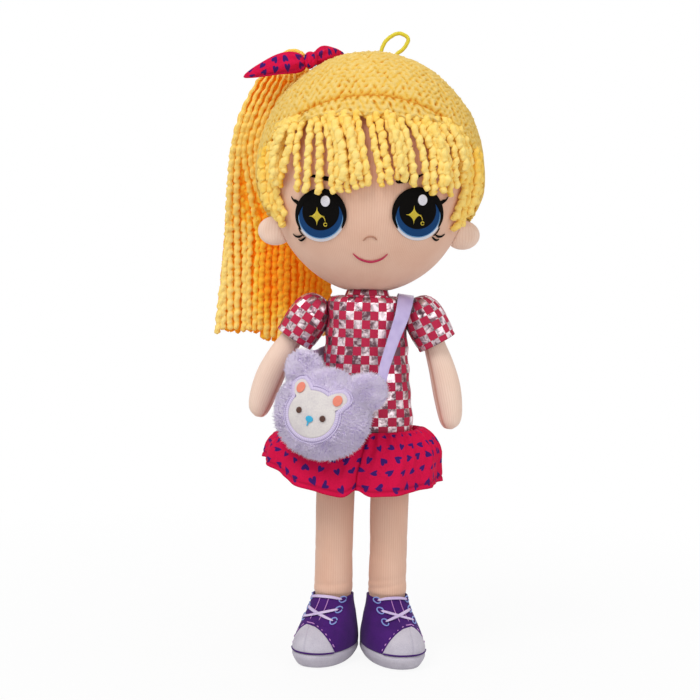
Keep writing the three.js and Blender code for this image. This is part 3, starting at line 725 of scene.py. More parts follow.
@dataclass(frozen=True)
class Egg:
    """A flattened egg about the middle of the head."""

    half_width: float
    half_depth: float
    chin: float
    crown: float
    middle: float = 311.0

    def half_height(self, z: float, grow: float = 0.0) -> float:
        """The egg's reach above or below its widest level."""
        return (self.crown if z > self.middle else self.chin) + grow

    def front(self, x: float, z: float, grow: float = 0.0) -> Vector:
        """The place on the egg's front that is seen at x and z.

        Args:
            x: How far to the doll's left.
            z: Height above the floor.
            grow: How far outside the egg's own skin.

        Returns:
            The point.
        """
        up = (z - self.middle) / self.half_height(z, grow)
        inside = 1 - (x / (self.half_width + grow)) ** 2 - up**2
        return Vector((x, -(self.half_depth + grow) * math.sqrt(max(inside, 0.0)), z))

    def flank(self, side: Side, y: float, z: float, grow: float) -> Vector:
        """The place on the egg's side that is seen at y and z, grow outside its skin."""
        up = (z - self.middle) / self.half_height(z, grow)
        inside = 1 - (y / (self.half_depth + grow)) ** 2 - up**2
        return Vector((side.value * (self.half_width + grow) * math.sqrt(max(inside, 0.0)), y, z))

    def looks(self, p: Vector) -> Vector:
        """The way that the egg's skin looks near a point."""
        up = (p.z - self.middle) / self.half_height(p.z) ** 2
        return Vector((p.x / self.half_width**2, p.y / self.half_depth**2, up)).normalized()

    def pressed(self, p: Vector, gap: float) -> Vector:
        """The point, moved out of the egg if it lies in it or nearer to it than the gap."""
        middle = Vector((0, 0, self.middle))
        off = p - middle
        across = (off.x / (self.half_width + gap)) ** 2 + (off.y / (self.half_depth + gap)) ** 2
        reach = math.sqrt(across + (off.z / self.half_height(p.z, gap)) ** 2)
        return middle + off / max(reach, 1e-6) if reach < 1 else p


HEAD = Egg(65, 50, 76, 71.3)
CAP = Egg(73.5, 57, 78, 78)
HAIRLINE_SIDE = 297.0  # the height of the cap's edge at the side of the head
HAIRLINE_RISE = 1.33  # how far the cap's edge rises for each millimetre forward
NECK_MIDDLE = Vector((0, 0, 230.5))
NECK_RADIUS = 13.4
HIP = Vector((17.6, 0, 117))
HIP_RADIUS = 12.3
SHOULDER = Vector((36, 0, 221))
SHOULDER_RADIUS = 13.0
ANKLE = 39.0


class Form(Protocol):
    """A form that patches and lines of thread are sewn on."""

    def front(self, x: float, z: float, lift: float) -> Vector:
        """The place on its front at x and z, lifted off it."""

    def looks(self, p: Vector) -> Vector:
        """The way that it looks near a point."""


def pad(
    bm: Mesh,
    form: Form,
    middle: tuple[float, float],
    reach: Callable[[float], float] | tuple[float, float],
    lift: float,
    thick: float,
    sides: int = 56,
    rings: int = 16,
) -> None:
    """Adds a thin round-edged patch that follows the form it is sewn on.

    Args:
        bm: The mesh that the patch is added to.
        form: What it is sewn on.
        middle: The patch's middle, as x and z.
        reach: Its radius at an angle, or its two half-sizes.
        lift: The gap under it.
        thick: Its thickness.
        sides: Faces around it.
        rings: Rings of faces from the middle of its face to the middle of its back.
    """

    def place(u: float, v: float) -> Vector:
        """The patch's skin."""
        angle = 2 * pi * u
        wide, high = (reach(angle),) * 2 if callable(reach) else reach
        spread = sin(pi * v) ** 0.6 if 0 < v < 1 else 0.0
        return form.front(
            middle[0] + wide * cos(angle) * spread,
            middle[1] + high * sin(angle) * spread,
            lift + thick * (0.5 + 0.5 * bent(cos(pi * v), 0.5)),
        )

    girth = 2 * pi * (reach(0.0) if callable(reach) else sum(reach) / 2)
    wrap(bm, sides, rings, place, lambda u, v: (v * girth / 6, u * girth))


def seam(
    bm: Mesh, form: Form, places: Sequence[Row], lift: float, thick: float, count: int = 16, sides: int = 8
) -> None:
    """Adds a line of satin stitch that follows the form it is sewn on.

    Args:
        bm: The mesh that the line is added to.
        form: What it is sewn on.
        places: x, z and the line's half-width at each place that it passes.
        lift: The gap under it.
        thick: Its thickness.
        count: Spans along it.
        sides: Faces around it.
    """
    course = smooth_path(places, count)
    path = [form.front(p.x, p.y, lift) for p in course]
    ends = [min(1.0, min(k, count - k) * 0.9) for k in range(count + 1)]

    def section(k: int, angle: float) -> tuple[float, float]:
        """A flat oval that closes at both ends."""
        out = thick * 0.5 * ends[k] * (1 + cos(angle))
        return out, max(course[k].z, 0.05) * ends[k] * sin(angle)

    sweep(bm, path, section, sides, [form.looks(p) for p in path])


def circle(x: float, z: float, wide: float, high: float, half: float, count: int) -> list[Row]:
    """The places of a round line of thread.

    Args:
        x: Its middle across.
        z: Its middle up.
        wide: Half its width.
        high: Half its height.
        half: Half the line's own width.
        count: Spans round it.

    Returns:
        x, z and the line's half-width at each place.
    """
    turns = [2 * pi * k / count for k in range(count + 1)]
    return [(x + wide * cos(a), z + high * sin(a), half) for a in turns]


@dataclass
class Head:
    """The stuffed cloth head with its two ears."""

    ear_middle: Vector = field(default_factory=lambda: Vector((60, -2, 273.5)))
    ear_half: Vector = field(default_factory=lambda: Vector((11.2, 4.6, 9.4)))
    seam_y: float = -2.0
    seam_depth: float = 0.9

    def build(self) -> None:
        """Makes the head and its ears."""
        self.ball()
        for side in Side:
            self.ear(side)

    def ball(self) -> None:
        """The head: a full, flattened egg with a seam up each side and a hollow for the neck."""
        bm = bmesh.new()

        def place(u: float, v: float) -> Vector:
            """The head's skin, drawn in along the side seams."""
            around = 2 * pi * u
            p = direction(around, pi * (v - 0.5))
            tall = HEAD.crown if p.z > 0 else HEAD.chin
            p = Vector((0, 0, HEAD.middle)) + stretched(p, Vector((HEAD.half_width, HEAD.half_depth, tall)))
            drawn = self.seam_depth * bump(p.y, self.seam_y, 1.3) * abs(cos(around))
            stuffing = 0.35 * noise.noise(p * 0.035)
            p += HEAD.looks(p) * (stuffing - drawn)
            return pressed(p, NECK_MIDDLE, NECK_RADIUS + 1.65)

        def shade(u: float, v: float) -> float:
            """Deeper in the side seams and where the fringe throws its shade."""
            seamed = bump(HEAD.half_depth * sin(2 * pi * u), self.seam_y, 1.1)
            return 0.5 * seamed + 0.36 * ease(v, 0.5, 0.6)

        wrap(bm, 128, 84, place, lambda u, v: (u * 2 * pi * 58, v * pi * 73), shade)
        sew(bm, "stuffed_head", "head", SKIN, ["head"])

    def ear(self, side: Side) -> None:
        """One ear: a small padded half disc with a soft hollow in its front."""
        bm = bmesh.new()
        at = side.of(self.ear_middle)

        def place(u: float, v: float) -> Vector:
            """The ear's skin, pressed against the head."""
            p = direction(2 * pi * u, pi * (v - 0.5))
            if p.y < 0:
                p.y += 0.32 * bump(p.x * side.value, 0.28, 0.34) * bump(p.z, 0, 0.42)
            return HEAD.pressed(at + stretched(p, self.ear_half), 0.1)

        wrap(bm, 40, 26, place, lambda u, v: (u * 50, v * 26))
        piece = sew(bm, f"ear_pad_{side.word}", "head", LIT_SKIN, [f"ear_{side.word}"])


@dataclass
class Face:
    """The embroidery on the face. Each place of a line is x, z and half the line's width."""

    eye_x: float = 30.0
    eye_z: tuple[float, float] = (283.2, 285.4)  # right and left
    eye_radius: float = 16.0
    white: tuple[float, float] = (15.3, 15.7)
    rim_radius: float = 13.9
    iris: tuple[float, float] = (13.8, 13.8)
    pupil: tuple[float, float] = (11.6, 11.6)
    highlight: tuple[float, float] = (2.9, 3.4)
    star: tuple[float, float] = (4.8, 5.6)
    hollow: float = 0.52  # how far the star's sides are drawn in
    lash_lines: tuple[tuple[Row, ...], ...] = (
        ((13.4, 6.8, 1.5), (15.6, 8.6, 1.2), (17.4, 9.6, 0.7), (18.9, 12.0, 0.2)),
        ((11.4, -12.2, 0.5), (13.6, -13.2, 0.75), (15.8, -12.9, 0.65), (17.8, -11.2, 0.2)),
        ((9.4, -13.4, 0.5), (11.2, -15.0, 0.7), (12.6, -15.5, 0.6), (14.2, -14.6, 0.2)),
        ((14.0, -7.4, 0.35), (12.6, -10.4, 0.4), (10.2, -13.0, 0.3)),
    )
    brow_lines: tuple[tuple[Row, ...], ...] = (
        ((-38.5, 307.2, 0.4), (-34, 307.4, 1.0), (-29, 306.4, 1.4), (-23.5, 305.4, 1.3)),
        ((15.5, 305.2, 1.4), (21.5, 305.8, 1.4), (27.5, 307.8, 1.0), (33, 310.4, 0.4)),
    )
    nose_line: tuple[Row, ...] = (
        (-3.6, 268.2, 0.35), (-1.4, 270.4, 0.5), (1.2, 271.1, 0.55), (3.6, 270.6, 0.5), (5.2, 268.8, 0.35),
    )  # fmt: skip
    mouth_line: tuple[Row, ...] = (
        (-9.8, 260.6, 0.3), (-5.4, 257.2, 0.7), (1.2, 255.5, 0.9), (7.8, 257.2, 0.7), (12.2, 260.8, 0.3),
    )  # fmt: skip

    def build(self) -> None:
        """Makes every embroidered piece."""
        for side, z, brow in zip(Side, self.eye_z, self.brow_lines):
            self.eye(side, z)
            self.star_thread(side, side.value * self.eye_x - 2.4, z - 0.4)
            lashes = [
                [(side.value * (self.eye_x + dx), z + dz, half) for dx, dz, half in line]
                for line in self.lash_lines
            ]
            self.lines(f"lashes_{side.word}", "thread_black", BLACK_THREAD, lashes, 0.25, 0.7, 14)
            self.lines(f"brow_{side.word}", "thread_black", BLACK_THREAD, [brow], 0.2, 0.6, 18)
        self.lines("nose_line", "thread_peach", PEACH_THREAD, [self.nose_line], 0.1, 0.6, 20, ["nose"])
        self.lines("mouth_line", "thread_red", RED_THREAD, [self.mouth_line], 0.1, 0.9, 30, ["mouth"])

    def lines(
        self,
        name: str,
        slot: str,
        finish: Finish,
        lines: Sequence[Sequence[Row]],
        lift: float,
        thick: float,
        count: int,
        replaces: Sequence[str] = (),
    ) -> None:
        """Sews lines of thread to the head as one piece.

        Args:
            name: The piece's name.
            slot: Not used.
            finish: The thread.
            lines: The places of each line.
            lift: The gap under them.
            thick: Their thickness.
            count: Spans along each.
            replaces: The CAD nodes that they stand for.
        """
        bm = bmesh.new()
        for places in lines:
            seam(bm, HEAD, places, lift, thick, count)
        sew(bm, name, "head", finish, replaces)

    def eye(self, side: Side, z: float) -> None:
        """One eye in layers: white, blue ring, black pupil with the upper lid's line, and a highlight."""
        x = side.value * self.eye_x
        bm = bmesh.new()
        pad(bm, HEAD, (x, z - 0.4), self.white, 0.3, 0.8)
        sew(bm, f"eye_white_{side.word}", "head", WHITE_THREAD, [f"eye_{side.word}"])
        bm = bmesh.new()
        pad(bm, HEAD, (x, z), self.iris, 0.8, 0.65)
        sew(bm, f"eye_iris_{side.word}", "head", BLUE_THREAD)
        bm = bmesh.new()
        turns = [math.radians(a) for a in range(150, 392, 11)]
        rim = [(x + self.rim_radius * cos(a), z + self.rim_radius * sin(a), 0.32) for a in turns]
        seam(bm, HEAD, rim, 1.1, 0.5, 60, 6)
        sew(bm, f"eye_rim_{side.word}", "head", SKY_THREAD)
        bm = bmesh.new()
        pad(bm, HEAD, (x - 0.1, z + 2.5), self.pupil, 1.1, 0.7)
        lid = []
        for k in range(11):
            angle = math.radians(mix(218, -32, k / 10))
            half = mix(0.5, 2.9, sin(pi * k / 10) ** 1.2)
            radius = self.eye_radius - half * 0.8
            lid.append((x + radius * cos(angle), z + 0.4 + radius * sin(angle), half))
        seam(bm, HEAD, lid, 1.05, 0.85, 56, 10)
        sew(bm, f"eye_pupil_{side.word}", "head", BLACK_THREAD)
        bm = bmesh.new()
        pad(bm, HEAD, (x + 2.7, z + 8.9), self.highlight, 1.8, 0.8, 28, 10)
        sew(bm, f"eye_highlight_{side.word}", "head", WHITE_THREAD)

    def star_thread(self, side: Side, x: float, z: float) -> None:
        """The small gold star in an eye, with a tail that ends in a ring.

        Args:
            side: Whose eye it is in.
            x: The star's middle across.
            z: The star's middle up.
        """
        bm = bmesh.new()
        wide, high = self.star

        def reach(angle: float) -> float:
            """Four points with hollow sides."""
            parts = abs(cos(angle) / wide) ** self.hollow + abs(sin(angle) / high) ** self.hollow
            return parts ** (-1 / self.hollow) + 0.35

        pad(bm, HEAD, (x, z), reach, 1.65, 0.55, 80, 10)
        tail = [(x + 2.6, z + 0.3, 0.3), (x + 4.6, z - 1.0, 0.3), (x + 5.4, z - 3.4, 0.25)]
        seam(bm, HEAD, tail, 1.75, 0.4, 10, 6)
        seam(bm, HEAD, circle(x + 5.4, z - 5.0, 1.0, 1.0, 0.32, 8), 1.75, 0.4, 16, 6)
        sew(bm, f"eye_star_{side.word}", "head", GOLD_THREAD)


@dataclass
class Strand:
    """One length of chenille yarn, whose loose twist gathers its pile into beads."""

    radius: float = 2.3
    bead: float = 0.1
    swell: float = 0.07
    tuft: float = 0.24
    pitch: float = 3.8
    wander: float = 0.5
    step: float = 0.64
    sides: int = 9

    def lay(
        self,
        bm: Mesh,
        path: Sequence[Vector],
        lot: random.Random,
        tone: Callable[[Vector], float],
        slim: Callable[[Vector], float] = lambda p: 1.0,
    ) -> None:
        """Lays a strand along a path.

        Args:
            bm: The mesh that the strand is added to.
            path: The points that its middle follows.
            lot: The source of its chance turns.
            tone: The painted shade of the yarn at a point of its skin.
            slim: The share of its full radius at a point.
        """
        start = lot.random() * 50
        own = lot.uniform(-0.07, 0.09)
        girth = self.radius * lot.uniform(0.88, 1.14)
        points = evened(path, self.step)
        last = len(points) - 1
        turn = [start]
        for k in range(last):
            uneven = 1 + 0.45 * noise.noise(Vector((k * 0.16, start, 0)))
            turn.append(turn[-1] + pi * self.step / self.pitch * uneven)
        lie = [
            middle + (out * cos(t) + across * sin(t)) * self.wander
            for t, (middle, out, across) in zip(turn, rails(points))
        ]
        rail = rails(lie)
        thick = []
        for k, p in enumerate(points):
            near = min(1.0, min(k, last - k) * self.step / girth)
            bulge = 1 + self.bead * cos(2 * turn[k] + 1) + 0.2 * noise.noise(Vector((k * 0.3, start, 5)))
            thick.append(girth * bulge * slim(p) * math.sqrt(max(0.0, 1 - (1 - near) ** 2)))

        def section(k: int, angle: float) -> tuple[float, float]:
            """The strand's cut: a soft oval that turns along it, with a few tufts of pile."""
            ply = cos(2 * (angle - turn[k]))
            spot = Vector((k * 0.6, cos(angle) * 1.7 + start, sin(angle) * 1.7))
            r = thick[k] * (1 - self.swell * 0.4 + self.swell * ply + self.tuft * noise.noise(spot))
            return r * cos(angle), r * sin(angle)

        def shade(u: float, v: float) -> float:
            """Painted shade, deeper at the necks between the beads."""
            k = round(v * last)
            middle, out, across = rail[k]
            a, b = section(k, 2 * pi * u)
            neck = 0.14 * (0.5 - 0.5 * cos(2 * turn[k] + 1))
            return min(1.0, max(0.0, tone(middle + out * a + across * b) + own + neck))

        sweep(bm, lie, section, self.sides, None, shade)


@dataclass
class Hair:
    """The knitted cap, the knitted band at its front edge, the fringe and the locks before the ears."""

    rim: float = 6.4
    wales: int = 222
    courses: int = 204
    band_half: float = 58.0
    band_low: float = 344.5
    band_scale: tuple[float, float] = (1.05, 1.15)  # how much the band's knitting is drawn together
    strand: Strand = field(default_factory=Strand)
    # each fringe strand's x at the band, at mid forehead and at its end, its end's height and its lift
    falls: tuple[Row, ...] = (
        (-54, -63.5, -64, 306, 4.8), (-51.5, -61, -61.5, 302.5, 5.2), (-49.5, -58, -59, 301, 7.4),
        (-47, -55.2, -56.5, 300, 5.0), (-44.6, -51.5, -54, 309, 7.6), (-41.5, -45.6, -45, 297, 5.2),
        (-37, -38, -39.6, 296.5, 5.2), (-34.2, -31.2, -31.4, 295.5, 5.2), (-31, -24.6, -22.6, 296, 5.0),
        (-27.5, -20.8, -18, 297, 6.6), (-24, -16.4, -13.6, 297, 4.8), (-20, -12.2, -9, 299, 6.8),
        (-15, -9, -4.6, 300.5, 5.0), (-10, -5.4, -0.2, 301.5, 6.2), (-3.4, 3.2, 7, 301, 5.0),
        (1.6, 8.6, 11.8, 302.5, 5.8), (6.6, 14.8, 17, 305.5, 5.0), (10.6, 19.4, 21.8, 304, 7.2),
        (14.6, 24, 27, 301.5, 5.2), (19.6, 32, 34.6, 299.5, 5.6), (24.4, 37.4, 39.8, 297, 4.8),
        (29, 42.4, 44.8, 298.5, 6.4), (33.8, 47.4, 50, 296.5, 4.8), (38, 51.8, 54, 302, 6.6),
        (42, 55.4, 57.6, 305, 4.8), (46, 59, 60.6, 308, 6.6), (50, 62, 63, 312, 4.8),
        (-46, -59.5, -60.5, 305, 10.0), (-26, -18, -15.8, 304, 9.0), (8.6, 17, 19.6, 309, 9.4),
        (-17.5, -10.4, -6.6, 305, 9.0), (31.4, 45, 47.6, 303, 8.8), (44, 57.4, 59.4, 313, 9.4),
    )  # fmt: skip
    # each lock strand's y, its lift off the head and its end's height
    lock_falls: tuple[Row, ...] = (
        (-11, 2.6, 288), (-15.5, 2.8, 279), (-20, 2.8, 275.5),
        (-24.5, 2.8, 282), (-13, 6.0, 292), (-18, 6.0, 286),
    )  # fmt: skip

    def build(self) -> None:
        """Makes all the hair but the ponytail."""
        self.cap()
        self.band()
        self.fringe()
        for side in Side:
            self.lock(side)

    def cap(self) -> None:
        """The cap: a knitted shell that runs from the front hairline over the crown to the nape."""
        bm = bmesh.new()
        tall = math.hypot(CAP.crown, HAIRLINE_RISE * CAP.half_depth)
        lean = math.atan2(HAIRLINE_RISE * CAP.half_depth, CAP.crown)

        def turn(u: float, v: float) -> tuple[float, float]:
            """The angle across the head from ear to ear, and the angle from the hairline over the crown."""
            over = pi * u
            drop = math.asin(min(1.0, (CAP.middle - HAIRLINE_SIDE) / (max(sin(over), 1e-6) * tall)))
            return over, mix(lean - drop, lean + pi + drop, v)

        def knit(u: float, v: float) -> tuple[float, float, float, float]:
            """The cap's height and painted shade there, its share of full width, and the angle over the crown.
            """
            over, back = turn(u, v)
            wide = sin(over)
            height, deep = KNITTING.at(over * 74, back * 64 * (0.2 + 0.8 * wide))
            return height, deep, wide, back

        def place(u: float, v: float) -> Vector:
            """The cap's outer face with its stitches."""
            height, _, wide, back = knit(u, v)
            x = -CAP.half_width * cos(pi * u)
            z = CAP.middle + CAP.crown * wide * sin(back)
            p = Vector((x, -CAP.half_depth * wide * cos(back), z))
            relief = height * min(1.0, wide * 1.6) + 0.8 * noise.noise(p * 0.05)
            edge = -1.3 * (1 - ease(v, 0.0, 0.022)) - 1.3 * ease(v, 0.978, 1.0)
            return p + CAP.looks(p) * (relief + edge - 0.2)

        def shade(u: float, v: float) -> float:
            """Painted shade in the holes and along the front edge."""
            return min(1.0, knit(u, v)[1] + 0.55 * (1 - ease(v, 0.0, 0.02)))

        wrap(bm, self.wales, self.courses, place, lambda u, v: (u * 230, v * 220), shade)
        sew(bm, "knitted_cap", "head", CAP_YARN, ["hair_cap"], wall=self.rim)

    def hairline(self, x: float, grow: float) -> float:
        """The height at which the cap's front edge crosses x, grow outside the head."""
        z = 340.0
        for _ in range(24):
            z = mix(z, HAIRLINE_SIDE - HAIRLINE_RISE * HEAD.front(x, z, grow).y, 0.35)
        return z

    def low_edge(self, x: float) -> float:
        """The height of the band's lower edge at x."""
        return self.band_low - 3.2 * (x / 46) ** 2

    def band(self) -> None:
        """The band: a puffed strip of knitting along the hairline that the fringe grows from."""
        bm = bmesh.new()
        crest = {}

        def stitches(x: float, z: float) -> tuple[float, float]:
            """The knitting's height and shade at a place on the band."""
            return KNITTING.at(x * self.band_scale[0], (crest[x] - z) * self.band_scale[1])

        def place(u: float, v: float) -> Vector:
            """The strip's skin, rolled at both edges."""
            across, angle = 2 * u - 1, 2 * pi * v
            x = self.band_half * across
            if x not in crest:
                crest[x] = self.hairline(x, 4.0)
            fade = math.sqrt(max(0.0, 1 - across**8))
            low = min(self.low_edge(x), crest[x] - 4)
            z = mix(crest[x] + 2.6, low, 0.5 - 0.5 * bent(cos(angle), 0.8) * fade)
            grow = 4.4 + 4.0 * bent(sin(angle), 0.42) * fade
            if sin(angle) > 0.0:
                grow += stitches(x, z)[0] * min(1.0, 4 * sin(angle))
            return HEAD.front(x, z, grow)

        def shade(u: float, v: float) -> float:
            """Painted shade in the holes and in the groove at the upper edge."""
            x, angle = self.band_half * (2 * u - 1), 2 * pi * v
            z = mix(crest[x] + 1.2, min(self.low_edge(x), crest[x] - 4), 0.5 - 0.5 * cos(angle))
            hole = stitches(x, z)[1] if sin(angle) > 0 else 0.3
            return min(1.0, hole + 0.7 * max(0.0, cos(angle)) ** 6)

        def lay(u: float, v: float) -> tuple[float, float]:
            """Along the band and round it."""
            return self.band_half * (2 * u - 1) * self.band_scale[0], -20 * cos(2 * pi * v)

        wrap(bm, 150, 52, place, lay, shade)
        sew(bm, "knitted_band", "head", CAP_YARN)

    def fall(self, row: Row, lot: random.Random) -> list[Vector]:
        """The path of one fringe strand, from under the band down the forehead.

        Args:
            row: One row of the table of falls.
            lot: The source of its chance sway.

        Returns:
            Its points.
        """
        top, middle, end, low, lift = row
        sway = lot.uniform(-0.6, 0.6)
        places = (
            (top, self.low_edge(top) + 3.5, min(lift, 6.0)),
            (mix(top, middle, 0.62), 335.5, lift + 0.4),
            (middle + sway, 324.0, lift),
            (mix(middle, end, 0.6) - sway, mix(324.0, low, 0.55), lift - 0.4),
            (end, low, lift - 1.0),
        )
        return smooth_path([HEAD.front(x, z, grow) for x, z, grow in places], 60)

    def tone(self, p: Vector) -> float:
        """Painted shade: the yarn is darkest close to the head and where it comes out from under the band."""
        up = (p.z - HEAD.middle) / HEAD.crown
        lift = (Vector((p.x / HEAD.half_width, p.y / HEAD.half_depth, up)).length - 1) * HEAD.half_depth
        return 0.04 + 0.75 * (1 - ease(lift, 1.5, 6.5)) + 0.2 * ease(p.z, 330, 346)

    def fringe(self) -> None:
        """The fringe: strands that fan out from the middle with gaps that show the forehead."""
        bm = bmesh.new()
        lot = random.Random(11)
        for row in self.falls:
            self.strand.lay(bm, self.fall(row, lot), lot, self.tone)
        sew(bm, "fringe_strands", "head", FRINGE_YARN, ["fringe"])

    def lock(self, side: Side) -> None:
        """A short lock before the ear: a few strands of uneven length."""
        bm = bmesh.new()
        lot = random.Random(5 + side.value)
        for y, grow, low in self.lock_falls:
            places = [
                HEAD.flank(side, y - 2.5 * t, mix(330, low, t), grow + 0.8 * sin(3 * t))
                for t in (0, 0.25, 0.5, 0.75, 1)
            ]
            # painted shade, darker towards the top where the lock comes out from under the cap
            self.strand.lay(bm, smooth_path(places, 40), lot, lambda p: 0.16 + 0.25 * ease(p.z, 300, 325))
        word = side.word
        sew(bm, f"side_lock_strands_{word}", "head", FRINGE_YARN, [f"side_lock_{word}"])


@dataclass
class Ponytail:
    """The side ponytail: loose chenille strands from a tied root, and the yarn wound round that root."""

    # outer edge, inner edge, middle depth, half thickness and height
    levels: tuple[Row, ...] = (
        (-67, -49.5, 13, 6, 379.5),
        (-75.5, -48, 13.5, 9, 370),
        (-85, -56.5, 18, 9, 352),
        (-91.5, -66, 25, 9, 328),
        (-94, -65, 33, 9, 300),
        (-96, -49, 41, 8, 270),
        (-98, -27, 42, 8, 250),
        (-100, -22, 42, 7.4, 228),
        (-101.8, -22, 42, 6.6, 205),
    )
    soft: float = 3.0
    margin: float = 2.4  # from the bundle's edge to the middle of the strand at that edge
    outer_count: int = 19
    filler_count: int = 18
    # half the width of each ring of the tie and its place along the bundle
    rings: tuple[tuple[float, float], ...] = (
        (9.2, -2.0), (9.6, 0.0), (9.2, 2.0), (6.8, -2.4), (6.8, 2.4),
        (4.4, -2.6), (4.4, 2.6), (1.9, -2.4), (1.9, 2.4),
    )  # fmt: skip

    def build(self) -> None:
        """Makes the strands and the tie."""
        self.strands()
        self.tie()

    def path(
        self, across: float, depth: float, sunk: float, longer: float, lot: random.Random
    ) -> list[Vector]:
        """The path of one strand.

        Args:
            across: Its share of the way from the outer to the inner edge.
            depth: Its place through the thickness, from -1 at the front to 1 at the back.
            sunk: How far it drops below the bundle's face where the bundle is narrow.
            longer: How far it hangs below the others.
            lot: The source of its chance sway.

        Returns:
            Its points.
        """
        places = []
        phase = lot.uniform(0, 6.3)
        end_outer, end_inner = self.levels[-1][0] + self.margin, self.levels[-1][1] - self.margin
        for k, (outer, inner, y, half, z) in enumerate(self.levels):
            sway = 0.5 * sin(phase + k * 1.3) * min(1.0, k / 3)
            wide = max(inner - outer - 4.2, 2.0)
            shared = (outer + inner) / 2 + wide * (across - 0.5)
            room = inner - self.margin - mix(end_outer, end_inner, across)
            hung = inner - self.margin - self.soft * math.log1p(math.exp(room / self.soft))
            x = mix(shared, max(hung, outer + self.margin), ease(z, 325, 275)) + sway
            inward = 2.9 * (abs(depth) < 1) + sunk * ease(z, 262, 300)
            y += math.copysign(max(half - 2.2 - inward, 0.3), depth)
            places.append(Vector((x, y, z)))
        places[-1].z -= longer
        return [CAP.pressed(p, 1.9) for p in smooth_path(places, 110)]

    def tone(self, p: Vector) -> float:
        """Painted shade: the yarn is darkest inside the bundle and where it hangs in the shadow behind the
        head.
        """
        k = next((k for k, row in enumerate(self.levels[1:]) if row[4] <= p.z), len(self.levels) - 2)
        upper, lower = self.levels[k], self.levels[k + 1]
        share = min(1.0, max(0.0, (upper[4] - p.z) / (upper[4] - lower[4])))
        middle, half = mix(upper[2], lower[2], share), mix(upper[3], lower[3], share)
        inside = 1 - ease(abs(p.y - middle), half - 3.6, half - 0.8)
        shaded = ease(p.x, -80, -66) * ease(p.z, 202, 236) * (1 - ease(p.z, 285, 320)) * (p.y < middle)
        return 0.72 * inside + 0.12 * ease(p.x, -98, -80) + 0.6 * shaded

    def strands(self) -> None:
        """An outer row of strands at the front and the back, each with a fuller row close behind its gaps."""
        bm = bmesh.new()
        lot = random.Random(23)
        outer = Strand(radius=2.12, bead=0.12, pitch=4.2, wander=0.35, step=1.05, sides=8)
        filler = Strand(radius=2.3, bead=0.08, pitch=5.0, wander=0.2, step=1.6, sides=7)
        for depth in (-1.0, -0.5, 0.5, 1.0):
            fills = abs(depth) < 1
            strand, count = (filler, self.filler_count) if fills else (outer, self.outer_count)
            for k in range(count):
                across = (k + 0.5 * fills) / self.filler_count
                across += lot.uniform(-0.01, 0.01) * (0 < k < count - 1)
                longer = lot.uniform(-2.0, 1.6) + (4.5 if 0.4 < across < 0.6 else 0.0) - 1.5 * fills
                sunk = 2.8 * (k % 3 != 0 and not fills)
                path = self.path(across, depth, sunk, longer, lot)
                strand.lay(bm, path, lot, self.tone, lambda p: mix(1.0, 0.42, ease(p.z, 335, 376)))
        sew(bm, "ponytail_strands", "ponytail", TAIL_YARN, ["ponytail"])

    def tie(self) -> None:
        """The yarn wound into a flat coil behind the bow, where the bundle is gathered."""
        bm = bmesh.new()
        lot = random.Random(3)
        yarn = Strand(radius=1.35, pitch=2.4, wander=0.1)
        turned = Matrix.Translation((-51.5, 11, 380)) @ Matrix.Rotation(math.radians(-42), 4, "Y")
        for wide, lift in self.rings:
            ring = []
            for k in range(41):
                angle = 2 * pi * k / 40
                r = wide + 0.2 * sin(3 * angle + lift)
                p = turned @ Vector((r * cos(angle), lift, r * sin(angle)))
                ring.append(CAP.pressed(p, 1.2))
            yarn.lay(bm, ring, lot, lambda p: 0.25)
        sew(bm, "ponytail_tie", "head", TAIL_YARN, ["hair_tie"])


